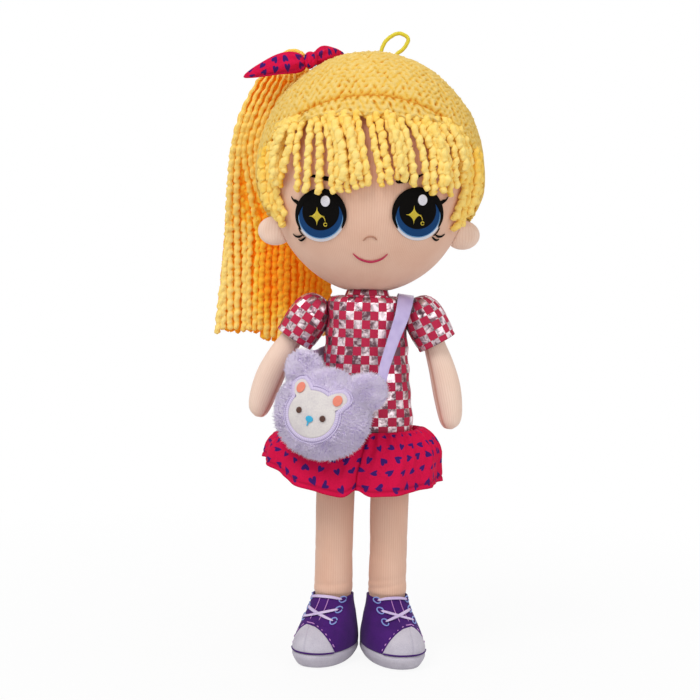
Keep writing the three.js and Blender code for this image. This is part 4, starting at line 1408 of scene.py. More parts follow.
@dataclass
class Bow:
    """The bow on the cap: two folded loops and a wrapped knot."""

    middle: Vector = field(default_factory=lambda: Vector((-40, -2, 382.5)))
    radius: float = 5.0
    crease_angle: float = 5.45
    rise: float = 2.0

    def build(self) -> None:
        """Makes the loops and the knot."""
        self.loop(Side.RIGHT, Vector((-42, -8, -12.5)), 6.6, 3.8)
        self.loop(Side.LEFT, Vector((21, 24, 7)), 5.4, 3.6)
        self.knot()

    def loop(self, side: Side, reach: Vector, height: float, thick: float) -> None:
        """One loop: pleated where the knot grips it, full in the middle and drawn to a point.

        Args:
            side: Which loop it is.
            reach: From the knot to the tip.
            height: Half its height at the fullest place.
            thick: Half its thickness there.
        """
        bm = bmesh.new()
        length = reach.length
        ahead = reach.normalized()
        up = (Vector((0, 0, 1)) - ahead * ahead.z).normalized()
        out = up.cross(ahead)

        def place(u: float, v: float) -> Vector:
            """The loop's skin."""
            angle = 2 * pi * u
            puff = 0.06 + 0.94 * sin(pi * min(1.0, v**0.55)) ** 0.7 if 0 < v < 1 else 0.0
            pleat = 1 + 0.2 * cos(7 * angle + 0.8) * math.exp(-3.2 * v)
            pleat += 0.05 * sin(3 * angle + 9 * v)
            crease = 0.45 * bump(angle, self.crease_angle, 0.2) * sin(pi * v)
            p = self.middle + ahead * (3 + v * (length - 3))
            p += out * (thick * puff * cos(angle) * pleat * (1 - crease))
            p += up * (height * puff * sin(angle) * pleat + self.rise * sin(pi * v))
            return CAP.pressed(p, 0.4)

        def shade(u: float, v: float) -> float:
            """Painted shade in the long crease and near the knot."""
            crease = bump(2 * pi * u, self.crease_angle, 0.13) * sin(pi * v)
            return 0.65 * crease + 0.35 * math.exp(-9 * v)

        wrap(bm, 56, 44, place, lambda u, v: (v * length, abs(u - 0.25) * height * 4.4), shade)
        word = side.word
        piece = sew(bm, f"bow_loop_cloth_{word}", "head", HEARTS, [f"bow_loop_{word}"])

    def knot(self) -> None:
        """The knot: a short band drawn tight round the middle."""
        bm = bmesh.new()

        def place(u: float, v: float) -> Vector:
            """The knot's skin with its gathers."""
            around, up = 2 * pi * u, pi * (v - 0.5)
            gather = 1 + 0.09 * cos(7 * around + 0.8 * sin(3 * up))
            wide = self.radius * bent(cos(up), 0.8) * gather
            high = self.radius * 1.1 * sin(up)
            p = Vector((0.8 * wide * cos(around), wide * sin(around), high))
            return CAP.pressed(self.middle + p, 0.4)

        wrap(bm, 36, 24, place, lambda u, v: (u * 30, v * 18))
        sew(bm, "bow_knot_cloth", "head", HEARTS, ["bow_knot"])


@dataclass
class HangingLoop:
    """The yellow cord loop on the crown, both of its ends sewn into the cap."""

    diameter: float = 2.6
    route: tuple[Row, ...] = (
        (4, 0, 384), (5, 0, 389.6), (8.2, 0, 396.4), (15.6, 0, 401),
        (22, 0, 398), (19.6, 0, 391.8), (14.6, 0, 387.4), (12.5, 0, 382.5),
    )  # fmt: skip

    def build(self) -> None:
        bm = bmesh.new()
        path = evened(smooth_path(self.route, 90), 0.55)
        last = len(path) - 1

        def section(k: int, angle: float) -> tuple[float, float]:
            """A round braid with a shallow twist, closed at both ends."""
            r = self.diameter / 2 * (0.97 + 0.05 * cos(3 * angle - k * 0.9)) * (0 < k < last)
            return r * cos(angle), r * sin(angle)

        sweep(bm, path, section, 14)
        piece = sew(bm, "hanging_cord", "head", LOOP_CORD, ["hang_loop"])
        run = [ORIGIN + p * MM for p in path]
        tuple(run[0])
        lengths(run)[-1]
        [tuple(p) for p in run]


@dataclass
class Body:
    """The neck, the stuffed body and the dress's bodice over it."""

    # half-width, half-depth and height
    rows: tuple[Row, ...] = (
        (7, 7, 120.5), (23, 16, 124), (29, 21, 133), (30.2, 23.2, 146), (28.2, 22.6, 170),
        (25.8, 21.2, 192), (24.4, 19.8, 212), (24.3, 18.6, 225), (23.2, 16.6, 231), (19, 13.5, 233),
    )  # fmt: skip
    # the same of the bodice's edge, turned under inside the neck band
    turned_under: tuple[Row, ...] = ((16.4, 15.0, 232.9), (15.6, 14.6, 232.4))
    squareness: float = 2 / 2.4  # 1 would be a plain oval
    top: float = 229.6
    cloth: float = 1.1
    waist: float = 144.0
    hem: float = 147.4
    flat: tuple[float, float] = (0.172, 0.108)
    pairs: int = 30  # a whole number of pairs of squares round it, so that the pattern meets itself

    def skin(self, row: Vector, angle: float, grow: float) -> Vector:
        """A point of the body at a row and an angle round it."""
        x = (row.x + grow) * bent(cos(angle), self.squareness)
        return Vector((x, (row.y + grow) * bent(sin(angle), self.squareness), row.z))

    def hollowed(self, p: Vector, neck_gap: float, shoulder_gap: float) -> Vector:
        """The point, moved out of the neck and of both shoulders with a gap."""
        p = pressed(p, NECK_MIDDLE, NECK_RADIUS + neck_gap)
        for side in Side:
            p = pressed(p, side.of(SHOULDER), SHOULDER_RADIUS + shoulder_gap)
        return p

    def build(self) -> None:
        """Makes the neck, the neck band, the body and the bodice."""
        self.neck()
        self.torso()
        self.bodice()

    def neck(self) -> None:
        """The neck plug and the bound edge of the dress round it."""
        bm = bmesh.new()

        def ball(u: float, v: float) -> Vector:
            """The neck's skin."""
            return NECK_MIDDLE + direction(2 * pi * u, pi * (v - 0.5)) * NECK_RADIUS

        wrap(bm, 40, 24, ball, lambda u, v: (u * 84, v * 42))
        sew(bm, "neck_plug", "neck", SKIN, ["neck"])
        bm = bmesh.new()

        def band(u: float, v: float) -> Vector:
            """A narrow folded strip of cloth."""
            around, turn = 2 * pi * u, 2 * pi * v
            rise = 0.5 + 6.8 * sin(turn)
            r = math.sqrt(max((NECK_RADIUS + 0.85 + 0.42 * cos(turn)) ** 2 - rise * rise, 1.0))
            return NECK_MIDDLE + Vector((r * cos(around), r * sin(around), rise))

        wrap(bm, 72, 16, band, lambda u, v: (u * 88, v * 28))
        sew(bm, "neck_band", "neck", DRESS, ["neckline"])

    def torso(self) -> None:
        """The stuffed body, hollowed where the neck, arms and legs are sewn on."""
        bm = bmesh.new()
        count = 60
        rows = smooth_path(self.rows, count)

        def place(u: float, v: float) -> Vector:
            """The body's skin."""
            p = self.skin(rows[round(v * count)], 2 * pi * u, 0.0)
            if v in (0.0, 1.0):
                p = Vector((0, 0, p.z))
            p.z = min(p.z, self.top)
            p = self.hollowed(p, 1.65, 0.85)
            for side in Side:
                p = pressed(p, Vector((side.value * HIP.x, p.y, HIP.z)), HIP_RADIUS + 0.4)
            return p

        wrap(bm, 72, count, place, lambda u, v: (u * 160, v * 115))
        sew(bm, "stuffed_body", "torso", SKIN, ["torso"])

    def bodice(self) -> None:
        """The bodice: a fitted tube of cloth, creased at the armholes and turned under at its hem."""
        bm = bmesh.new()
        rows = [r for r in smooth_path(self.rows, 240) if r.z >= self.waist]
        rows = evened([*rows, *[Vector(row) for row in self.turned_under]], 1.35)
        around, last = 132, len(rows) - 1

        def place(u: float, v: float) -> Vector:
            """The cloth's outer face."""
            row = rows[round(v * last)]
            angle = 2 * pi * u
            hem = 0.35 * bump(row.z, self.hem, 0.7)
            pull = 0.5 * noise.noise(Vector((cos(angle) * 1.6, sin(angle) * 1.6, row.z * 0.045)))
            crease = 0.35 * sin(row.z * 0.42 + 5 * cos(angle)) * abs(cos(angle)) ** 3
            loose = 1.6 + (pull + crease) * ease(row.z, 236, 222) - hem
            return self.hollowed(self.skin(row, angle, loose if row.z < 232.3 else 0.6), 1.4, 0.5)

        def shade(u: float, v: float) -> float:
            """Painted shade down in the armhole creases, and darker at the side seams."""
            p = place(u, v)
            near = min((p - side.of(SHOULDER)).length for side in Side)
            # painted shade in the crease round each armhole
            armhole = 0.85 * (1 - ease(near, SHOULDER_RADIUS + 0.6, SHOULDER_RADIUS + 4.0))
            return min(1.0, armhole + 0.5 * bump(p.y, 0.0, 0.7))

        run = lengths([place(k / around, 0.5) for k in range(around + 1)])
        girth = self.pairs * DRESS.square

        def lay(u: float, v: float) -> tuple[float, float]:
            """Round the body by the tube's own length, and up it."""
            return run[round(u * around)] / run[-1] * girth, rows[round(v * last)].z

        wrap(bm, around, last, place, lay, shade)
        size = area(bm)
        piece = sew(bm, "dress_bodice", "torso", DRESS, ["bodice"], wall=self.cloth)


@dataclass
class Skirt:
    """The gathered skirt in two halves that meet in a pleat at the front and back, one for each leg."""

    # half-width, half-depth and height
    rows: tuple[Row, ...] = (
        (32.0, 25.0, 144.6), (37, 28.5, 147.2), (45, 33.5, 142),
        (53, 38.5, 131.5), (56, 41.2, 120.5), (57.5, 42, 107.5),
    )  # fmt: skip
    spans: int = 60
    cloth: float = 1.0
    keep: float = 0.42
    parting: float = 0.06  # how far the front pleat lies towards the left, as an angle
    tuck: float = 0.055  # how far the right half reaches under the left one, as an angle
    flat: tuple[float, float] = (0.2, 0.058)

    def __post_init__(self) -> None:
        """Works out the smooth outline once."""
        self.course = smooth_path(self.rows, self.spans)

    def point(self, angle: float, t: float, inset: float = 0.0) -> Vector:
        """A point of the cloth.

        Args:
            angle: Round the waist.
            t: The share of the way down.
            inset: How far inside the outer face.

        Returns:
            The point.
        """
        level = self.course[round(t * self.spans)]
        fallen = ease(t, 0.15, 1.0)
        side = cos(angle)
        fold = 0.046 * sin(11 * angle + 0.6) + 0.018 * sin(5 * angle)
        fold += 0.014 * sin(23 * angle + 1.1)
        fold += 0.03 * noise.noise(Vector((3.2 * side, 3.2 * sin(angle), 2.2 * t)))
        fold *= 1 - 0.45 * side**2
        gather = 0.026 * sin(38 * angle + 3 * t) + 0.016 * sin(61 * angle + 2)
        gather *= ease(t, 0.0, 0.1) * (1 - ease(t, 0.2, 0.95))
        spread = 1 + fallen * fold + gather
        lift = fallen * (13 * side**2 - 6.5 * side * abs(side))
        lift += 1.6 * (1 - fallen) * side**2 * min(1.0, 5 * t)
        inward = inset + 0.5 * bump(t, 0.945, 0.012)
        x = -7.5 * fallen + (level.x - inward) * spread * side
        p = Vector((x, (level.y - inward) * spread * sin(angle), level.z + lift))
        if p.y < 0:
            pleat = bump(p.x, -4.0, 5.5) * fallen
            p.y += 3.2 * pleat
            p.z += 4.2 * pleat * t
        return p

    def build(self) -> None:
        """Makes the two halves."""
        for side in Side:
            self.half(side)

    def half(self, side: Side) -> None:
        """One half of the skirt, from the front pleat round the side to the back pleat."""
        bm = bmesh.new()
        right = side is Side.RIGHT
        start = pi / 2 if right else self.parting - pi / 2
        span = pi - side.value * self.parting
        tuck = self.tuck * right

        def place(u: float, v: float) -> Vector:
            """The cloth's outer face; the right half tucks under the left one at the pleats."""
            under = 1.3 * right * (1 - ease(min(u, 1 - u), 0.012, 0.05))
            return self.point(start - tuck + u * (span + 2 * tuck), 1 - v, under)

        def shade(u: float, v: float) -> float:
            """Painted shade in the gathers under the bodice, and darker along the hem's stitches."""
            return 0.55 * ease(v, 0.86, 1.0) + 0.4 * bump(v, 0.055, 0.012)

        wrap(bm, 150, 56, place, lambda u, v: ((start + u * span) * 52, v * 52), shade)
        size = area(bm)
        word, nodes = side.word, ["skirt"] if right else []
        piece = sew(bm, f"dress_skirt_{word}", "torso", HEARTS, nodes, wall=self.cloth)
        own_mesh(piece)


@dataclass
class Arm:
    """One stuffed arm and its puffed sleeve."""

    side: Side
    swing: float
    sleeve_swing: float
    bow: float
    length: float = 76.0
    section: float = 0.92
    seam_turn: float = 0.62  # from the arm's inner side towards its front
    # radius and height below the shoulder
    rows: tuple[Row, ...] = (
        (0.6, -76.0, 0), (5.4, -73.4, 0), (8.0, -66.0, 0), (9.2, -50.0, 0), (8.2, -32.0, 0),
        (7.1, -19.0, 0), (8.6, -9.0, 0), (10.9, 0.0, 0), (8.6, 7.0, 0), (0.6, 11.0, 0),
    )  # fmt: skip
    sleeve_rows: tuple[Row, ...] = (
        (12.8, -20.0, 0), (13.6, -9.0, 0), (13.0, 0.0, 0), (10.4, 7.8, 0), (5.7, 11.7, 0), (0.0, 13.0, 0),
    )  # fmt: skip
    sleeve_hem: float = -17.2
    flat: tuple[float, float] = (0.086, 0.042)
    cloth: float = 1.1

    def hung(self, angle: float) -> Matrix:
        """The turn that hangs a limb from the shoulder."""
        turn = Matrix.Rotation(-self.side.value * math.radians(angle), 4, "Y")
        return Matrix.Translation(self.side.of(SHOULDER)) @ turn

    def build(self) -> None:
        """Makes the arm and the sleeve."""
        self.limb()
        self.sleeve()

    def limb(self) -> None:
        """The arm, with a sewn seam down its inner edge and round the hand."""
        bm = bmesh.new()
        count = 70
        course = smooth_path(self.rows, count)
        turned = self.hung(self.swing)
        inner = pi if self.side is Side.LEFT else 0.0
        seam_angle = inner + self.side.value * self.seam_turn

        def seamed(angle: float) -> float:
            """1 on the seam and 0 away from it."""
            away = math.atan2(sin(angle - seam_angle), cos(angle - seam_angle))
            return bump(away, 0.0, 0.095)

        def place(u: float, v: float) -> Vector:
            """The arm's skin."""
            row = course[round(v * count)]
            angle = 2 * pi * u
            r = 0.0 if v in (0.0, 1.0) else row.x - 0.5 * seamed(angle)
            bow = self.side.value * self.bow * sin(pi * min(1.0, max(0.0, -row.y / self.length)))
            return turned @ Vector((r * cos(angle) + bow, r * sin(angle) * self.section, row.y))

        wrap(bm, 56, count, place, lambda u, v: (u * 54, v * 90), lambda u, v: 0.85 * seamed(2 * pi * u))
        body = f"arm_{self.side.word}"
        sew(bm, f"stuffed_{body}", body, LIT_SKIN, [body])

    def sleeve(self) -> None:
        """The sleeve: gathered at the armhole, full in the middle, with a stitched hem."""
        bm = bmesh.new()
        count = 44
        course = smooth_path(self.sleeve_rows, count)
        turned = self.hung(self.sleeve_swing)

        def place(u: float, v: float) -> Vector:
            """The cloth's outer face."""
            row = course[round(v * count)]
            angle = 2 * pi * u
            folds = 0.35 * sin(5 * angle + 1) + 0.45 * sin(12 * angle) * ease(row.y, -12, 4)
            hem = 0.35 * bump(row.y, self.sleeve_hem, 0.6)
            r = max(row.x + (folds - hem) * min(1.0, row.x / 6), 0.0)
            return turned @ Vector((r * cos(angle), r * sin(angle), row.y))

        def lay(u: float, v: float) -> tuple[float, float]:
            """Round the arm and up it."""
            return u * 82 + 3, course[round(v * count)].y * 1.05

        # painted shade, darker towards the sleeve's top where it is gathered into the armhole
        wrap(bm, 72, count, place, lay, lambda u, v: 0.5 * ease(course[round(v * count)].y, 6.5, 12))
        size = area(bm)
        word, body = self.side.word, f"arm_{self.side.word}"
        name, nodes = f"dress_sleeve_{word}", [f"sleeve_{word}"]
        piece = sew(bm, name, body, DRESS, nodes, wall=self.cloth)


@dataclass
class Sneaker:
    """One sewn-on cloth sneaker: a printed canvas upper, a toe cap and a thick sole."""

    side: Side
    splay: float = 17.0
    sole_thick: float = 9.5
    square: float = 2.25  # 2 would be a plain oval
    cap_from: float = 24.0
    cap_lean: float = 25.0
    cap_out: float = 3.6
    cap_drift: float = 0.22  # how much further outwards its middle is for each millimetre up
    cloth: float = 1.2
    level_step: float = 0.25
    # toe, heel, half-width, how far inward its middle is, and height
    rows: tuple[Row, ...] = (
        (45.4, -13.6, 15.2, 0.9, 0), (48.4, -16.8, 18.1, 0.9, 4.75), (48.8, -17, 18.6, 0.9, 8),
        (46.4, -16.6, 18.4, 0.9, 14), (39.5, -16, 17.4, 0.9, 20), (30, -15.2, 15.8, 0.6, 26),
        (19.5, -13.8, 13.9, 0.3, 33), (13.4, -13.1, 13, 0, 39),
    )  # fmt: skip
    # the sole's section: the share of its full reach and the height
    sole_rows: tuple[tuple[float, float], ...] = (
        (0.0, 0.0), (0.5, 0.0), (0.93, 0.0), (0.985, 0.3), (1.0, 1.2), (1.0, 2.4), (1.0, 3.6), (1.0, 4.8),
        (1.005, 6.4), (1.0, 8.0), (0.99, 9.0), (0.96, 9.45), (0.6, 9.5), (0.0, 9.5),
    )  # fmt: skip
    eyelet_rows: tuple[float, ...] = (37.4, 32.0, 26.4)
    eyelet_reach: float = 10.0
    # each lace's two eyelets, by row and hand, its arch and its lift off the canvas
    laces: tuple[tuple, ...] = (
        ((0, -1), (0, 1), 1.2, 0.35), ((1, -1), (2, 1), 0.3, 0.35), ((2, -1), (1, 1), 0.3, 0.75),
    )  # fmt: skip
    # the height of each place of a tongue line, its share of the cap's shift and how far the two lines part
    tongue: tuple[Row, ...] = ((38.4, 0.3, 1.0), (32, 0.5, 1.05), (26.4, 0.8, 1.1))
    dash_back: float = 2.0
    dash_pitch: float = 4.4
    dash_length: float = 2.7

    def __post_init__(self) -> None:
        """Works out the smooth outline and the foot's place once."""
        count = 400
        first = smooth_path([(row[4], row[0], row[1]) for row in self.rows], count)
        second = smooth_path([(row[4], row[2], row[3]) for row in self.rows], count)
        self.levels = []
        k = 0
        for step in range(round(ANKLE / self.level_step) + 1):
            z = step * self.level_step
            while k < count - 1 and first[k + 1].x < z:
                k += 1
            share = min(1.0, max(0.0, (z - first[k].x) / max(first[k + 1].x - first[k].x, 1e-6)))
            a, b = first[k].lerp(first[k + 1], share), second[k].lerp(second[k + 1], share)
            self.levels.append((a.y, a.z, b.y, b.z))
        turn = Matrix.Rotation(self.side.value * math.radians(self.splay), 4, "Z")
        self.turned = Matrix.Translation((self.side.value * HIP.x, 0, 0)) @ turn

    def level(self, z: float) -> list[float]:
        """Toe, heel, half-width and inward shift at a height."""
        place = min(max(z, 0.0), ANKLE) / self.level_step
        k = min(int(place), len(self.levels) - 2)
        return [mix(a, b, place - k) for a, b in zip(self.levels[k], self.levels[k + 1])]

    def local(self, z: float, angle: float, grow: float = 0.0) -> Vector:
        """A point of the shoe's skin in the foot's own frame, at a height and an angle round it."""
        toe, heel, half, inward = self.level(z)
        x = (half + grow) * bent(cos(angle), 2 / self.square) - self.side.value * inward
        y = ((toe - heel) / 2 + grow) * bent(sin(angle), 2 / self.square) - (toe + heel) / 2
        return Vector((x, y, z))

    def facing(self, z: float, angle: float) -> Vector:
        """The way that the skin looks there, in the foot's own frame."""
        around = self.local(z, angle + 0.02) - self.local(z, angle - 0.02)
        up = self.local(min(z + 0.3, ANKLE), angle) - self.local(max(z - 0.3, 0), angle)
        return around.cross(up).normalized()

    def skin(self, walk: Sequence[tuple[float, float]], grow: float) -> tuple[list[Vector], list[Vector]]:
        """Follows the shoe's skin.

        Args:
            walk: Height and angle of each place.
            grow: How far outside the skin.

        Returns:
            The points in the doll's frame, and the way that the skin looks at each.
        """
        points = [self.turned @ self.local(z, angle, grow) for z, angle in walk]
        return points, [self.turned.to_3x3() @ self.facing(z, angle) for z, angle in walk]

    def angle(self, x: float, z: float) -> float:
        """The angle round the shoe of the place on its front that is x off its middle."""
        _, _, half, inward = self.level(z)
        share = max(-0.999, min(0.999, (x + self.side.value * inward) / half))
        return -math.acos(bent(share, self.square / 2))

    def front(self, x: float, z: float, lift: float = 0.0) -> Vector:
        """The place on the shoe's front seen at x and z, in the doll's frame."""
        angle = self.angle(x, z)
        return self.turned @ (self.local(z, angle) + self.facing(z, angle) * lift)

    def looks(self, p: Vector) -> Vector:
        """The way that the skin looks near a point given in the doll's frame."""
        q = self.turned.inverted() @ p
        return self.turned.to_3x3() @ self.facing(q.z, self.angle(q.x, q.z))

    def cap_shift(self, z: float) -> float:
        """How far the toe cap's middle line is from the foot's own at a height."""
        return self.side.value * (self.cap_out + self.cap_drift * (min(z, 26.0) - self.sole_thick))

    def cap_middle(self, z: float) -> float:
        """The turn from the toe to the toe cap's middle line."""
        return self.angle(self.cap_shift(z), z) + pi / 2

    def cap_half(self, z: float, hand: int, back: float = 0.0) -> float:
        """The turn from the cap's middle line to its edge.

        Args:
            z: Height above the floor.
            hand: 1 towards +x and -1 towards -x.
            back: How far behind the real edge.

        Returns:
            The turn, or 0 above the cap.
        """
        lean = math.radians(self.cap_lean)
        shift = self.cap_shift(z)
        middle_turn = self.cap_middle(z)

        def inside(turn: float) -> bool:
            """Whether the skin at that turn belongs to the cap, which is a pointed arch."""
            p = self.local(z, -pi / 2 + middle_turn + hand * turn)
            ahead = -(p.y + self.cap_from - back) * cos(lean) - (p.z - self.sole_thick) * sin(lean)
            return ahead > 0 and abs(p.x - shift) < 2.9 * ahead**0.7

        low, high = 0.0, 2.4
        if not inside(0.0):
            return 0.0
        for _ in range(26):
            middle = (low + high) / 2
            low, high = (middle, high) if inside(middle) else (low, middle)
        return low

    def cap_edge(self, z: float, hand: int, back: float = 0.0) -> float:
        """The turn from the toe to the cap's edge, or to its middle line above the cap."""
        return self.cap_half(z, hand, back) + hand * self.cap_middle(z)

    def cap_top(self, back: float = 0.0) -> float:
        """The height of the cap's highest point."""
        low, high = 12.0, 38.0
        for _ in range(30):
            middle = (low + high) / 2
            low, high = (middle, high) if self.cap_half(middle, 1, back) > 0 else (low, middle)
        return low

    def edges(self, top: float, count: int) -> list[tuple[float, float, float]]:
        """Heights from the sole to the top, each with the turns to the cap's two edges."""
        heights = [mix(self.sole_thick + 0.1, top, k / count) for k in range(count + 1)]
        return [(z, self.cap_edge(z, -1), self.cap_edge(z, 1)) for z in heights]

    def finish(
        self, bm: Mesh, part: str, slot: str, finish: Finish, node: str = "", wall: float = 0.0
    ) -> None:
        """Sews a mesh to the leg as a part of the shoe.

        Args:
            bm: The mesh. It is used up.
            part: The part's name without the shoe's prefix and the side.
            slot: Not used.
            finish: What it is made of.
            node: The CAD node that it stands for, without the side.
            wall: The thickness of its cloth, or 0 for a closed piece.
        """
        word = self.side.word
        nodes = [f"{node}_{word}"] if node else []
        sew(bm, f"shoe_{part}_{word}", f"leg_{word}", finish, nodes, wall)

    def build(self) -> None:
        """Makes the three sewn pieces and what is printed and stitched on them."""
        self.sole()
        self.cap()
        self.upper()
        self.lacing()
        self.stitching()
        self.cap_line()

    def sole(self) -> None:
        """The sole: a thick padded slab with rolled edges."""
        bm = bmesh.new()
        last = len(self.sole_rows) - 1

        def place(u: float, v: float) -> Vector:
            """The sole's skin."""
            share, z = self.sole_rows[round(v * last)]
            middle = Vector((0, -16, z))
            return self.turned @ (middle + (self.local(z, 2 * pi * u) - middle) * share)

        wrap(bm, 72, last, place, lambda u, v: (u * 170, v * 50))
        self.finish(bm, "sole", "shoe_white", WHITE_CLOTH, "sole")

    def cap(self) -> None:
        """The toe cap, puffed over its filling, with a centre seam."""
        bm = bmesh.new()
        count = 24
        top = self.cap_top()
        reach = self.edges(top, count)
        reach[count] = (top, -self.cap_middle(top), self.cap_middle(top))

        def place(u: float, v: float) -> Vector:
            """The cap's outer face."""
            z, left, right = reach[round(v * count)]
            angle = -pi / 2 + mix(-left, right, u)
            full = sin(pi * min(1.0, v * 1.05)) ** 0.5 if v < 0.95 else 0.0
            puff = 0.9 * (1 - (2 * u - 1) ** 4) * full
            groove = 0.35 * bump(u, 0.5, 0.025)
            return self.turned @ (self.local(z, angle, 0.15) + self.facing(z, angle) * (puff - groove))

        wrap(bm, 40, count, place, lambda u, v: (u * 40, v * 20), lambda u, v: 0.5 * bump(u, 0.5, 0.0175))
        self.finish(bm, "toe_cap", "shoe_white", WHITE_CLOTH, "toe_cap", self.cloth)

    def upper(self) -> None:
        """The canvas upper, open at the ankle where the leg goes in."""
        bm = bmesh.new()
        count = 44
        reach = self.edges(ANKLE, count)

        def place(u: float, v: float) -> Vector:
            """The canvas's outer face."""
            z, left, right = reach[round(v * count)]
            angle = -pi / 2 + mix(right, 2 * pi - left, u)
            at = Vector((cos(angle) * 2, sin(angle) * 2, z * 0.12 + self.side.value))
            return self.turned @ self.local(z, angle, 0.3 * noise.noise(at) + 0.15 * bump(z, ANKLE, 1.0))

        wrap(bm, 88, count, place, lambda u, v: (u * 100, v * 30))
        self.finish(bm, "canvas", "shoe_purple", CANVAS, "shoe", self.cloth)

    def lacing(self) -> None:
        """The printed eyelets and the laces between them."""
        wrapped = 1.6 if self.side is Side.RIGHT else 0.0
        spots = {}
        for k, z in enumerate(self.eyelet_rows):
            for hand in (-1, 1):
                reach = self.eyelet_reach + wrapped * (hand == self.side.value)
                spots[(k, hand)] = (self.side.value * 0.4 * k + hand * reach, z)
        bm = bmesh.new()
        for x, z in spots.values():
            seam(bm, self, circle(x, z, 1.7, 1.6, 0.5, 12), 0.15, 0.48, 24, 6)
        self.finish(bm, "eyelets", "shoe_eyelet", EYELET_PRINT)
        bm = bmesh.new()
        for one, other, arch, lift in self.laces:
            (ax, az), (bx, bz) = spots[one], spots[other]
            raised = [(mix(ax, bx, share), mix(az, bz, share) + arch, 1.15) for share in (0.3, 0.7)]
            seam(bm, self, [(ax, az, 0.8), *raised, (bx, bz, 0.8)], lift, 0.6, 22, 8)
        self.finish(bm, "laces", "shoe_lace", LACE_PRINT)

    def stitching(self) -> None:
        """The two lines of the tongue and the dashes round the cap."""
        bm = bmesh.new()
        shift = self.side.value * self.cap_out
        for offset in (-2.9, 2.9):
            line = [(shift * share + offset * part, z, 0.28) for z, share, part in self.tongue]
            seam(bm, self, line, 0.1, 0.35, 16, 6)
        self.dashes(bm)
        self.finish(bm, "stitching", "shoe_stitch", PINK_THREAD)

    def cap_line(self) -> None:
        """The dark line between the toe cap and the sole."""
        bm = bmesh.new()
        count = 40
        z = self.sole_thick + 0.3
        low, high = -self.cap_edge(z, -1), self.cap_edge(z, 1)
        walk = [(z, -pi / 2 + mix(low, high, k / count)) for k in range(count + 1)]
        path, looks = self.skin(walk, 0.5)

        def section(k: int, angle: float) -> tuple[float, float]:
            """A flat oval that closes at both ends."""
            end = 0 < k < count
            return 0.35 * end * cos(angle), 0.5 * end * sin(angle)

        sweep(bm, path, section, 8, looks)
        self.finish(bm, "cap_line", "shoe_purple", CANVAS)

    def dashes(self, bm: Mesh) -> None:
        """Adds a row of dashes on the canvas, a little behind the toe cap's edge."""
        top = self.cap_top(self.dash_back)
        walk = []
        for hand in (-1, 1):
            half = []
            for k in range(41):
                z = mix(self.sole_thick + 1.0, top, sin(k / 40 * pi / 2))
                half.append((z, -pi / 2 + hand * self.cap_edge(z, hand, self.dash_back)))
            walk += half if hand < 0 else half[::-1]
        points, looks = self.skin(walk, 0.2)
        dash: list[int] = []
        for k, run in enumerate(lengths(points)):
            if k and run % self.dash_pitch < self.dash_length:
                dash.append(k)
                continue
            self.dash(bm, points, looks, dash)
            dash = []
        self.dash(bm, points, looks, dash)

    def dash(self, bm: Mesh, points: list[Vector], looks: list[Vector], dash: list[int]) -> None:
        """Adds one dash of the row, if it has any length.

        Args:
            bm: The mesh that it is added to.
            points: The row's points.
            looks: The way that the canvas looks at each.
            dash: Which of the points are in the dash.
        """
        if len(dash) < 2 or (points[dash[0]] - points[dash[-1]]).length < 0.8:
            return
        last = len(dash) - 1

        def section(k: int, angle: float) -> tuple[float, float]:
            """A flat oval that closes at both ends."""
            end = 0 < k < last
            return 0.25 * end * cos(angle) + 0.1, 0.42 * end * sin(angle)

        sweep(bm, [points[k] for k in dash], section, 6, [looks[k] for k in dash])


@dataclass
class Leg:
    """One stuffed leg with a domed top under the body."""

    side: Side
    # radius and height
    rows: tuple[Row, ...] = (
        (11.5, 34.4, 0), (11.6, 39.0, 0), (12.5, 42.6, 0), (12.3, 52.0, 0), (12.1, 70.0, 0),
        (12.4, 95.0, 0), (12.3, 117.0, 0), (10.6, 123.2, 0), (7.0, 127.1, 0), (0.5, 129.3, 0),
    )  # fmt: skip
    widest: float = 12.6
    # height, slope, depth and half height of the creases in the front of the right and of the left leg
    creases: tuple[tuple[Row, ...], ...] = (
        ((67, -0.15, 0.3, 2.0), (46.5, 0.1, 0.35, 1.5)),
        ((76, 0.05, 0.35, 2.2), (64, -0.2, 0.3, 1.8), (50, 0.12, 0.5, 1.5), (46, 0.2, 0.55, 1.3)),
    )

    def build(self) -> None:
        """Makes the leg."""
        bm = bmesh.new()
        count = 80
        course = smooth_path(self.rows, count)

        def place(u: float, v: float) -> Vector:
            """The leg's skin, a little uneven over its filling."""
            row = course[round(v * count)]
            angle = 2 * pi * u
            spot = Vector((cos(angle), sin(angle), row.y * 0.05 + self.side.value))
            r = row.x + 0.3 * noise.noise(spot)
            for z, slope, depth, half in self.creases[self.side is Side.LEFT]:
                crease = bump(row.y - slope * row.x * cos(angle), z, half)
                r -= depth * crease * (0.6 - 0.4 * sin(angle))
            r = 0.0 if v in (0.0, 1.0) else min(r, self.widest)
            return Vector((self.side.value * HIP.x + r * cos(angle), r * sin(angle), row.y))

        wrap(bm, 56, count, place, lambda u, v: (u * 76, v * 100), lambda u, v: 0.4 * bump(u, 0.5, 0.012))
        body = f"leg_{self.side.word}"
        sew(bm, f"stuffed_{body}", body, SKIN, [body])


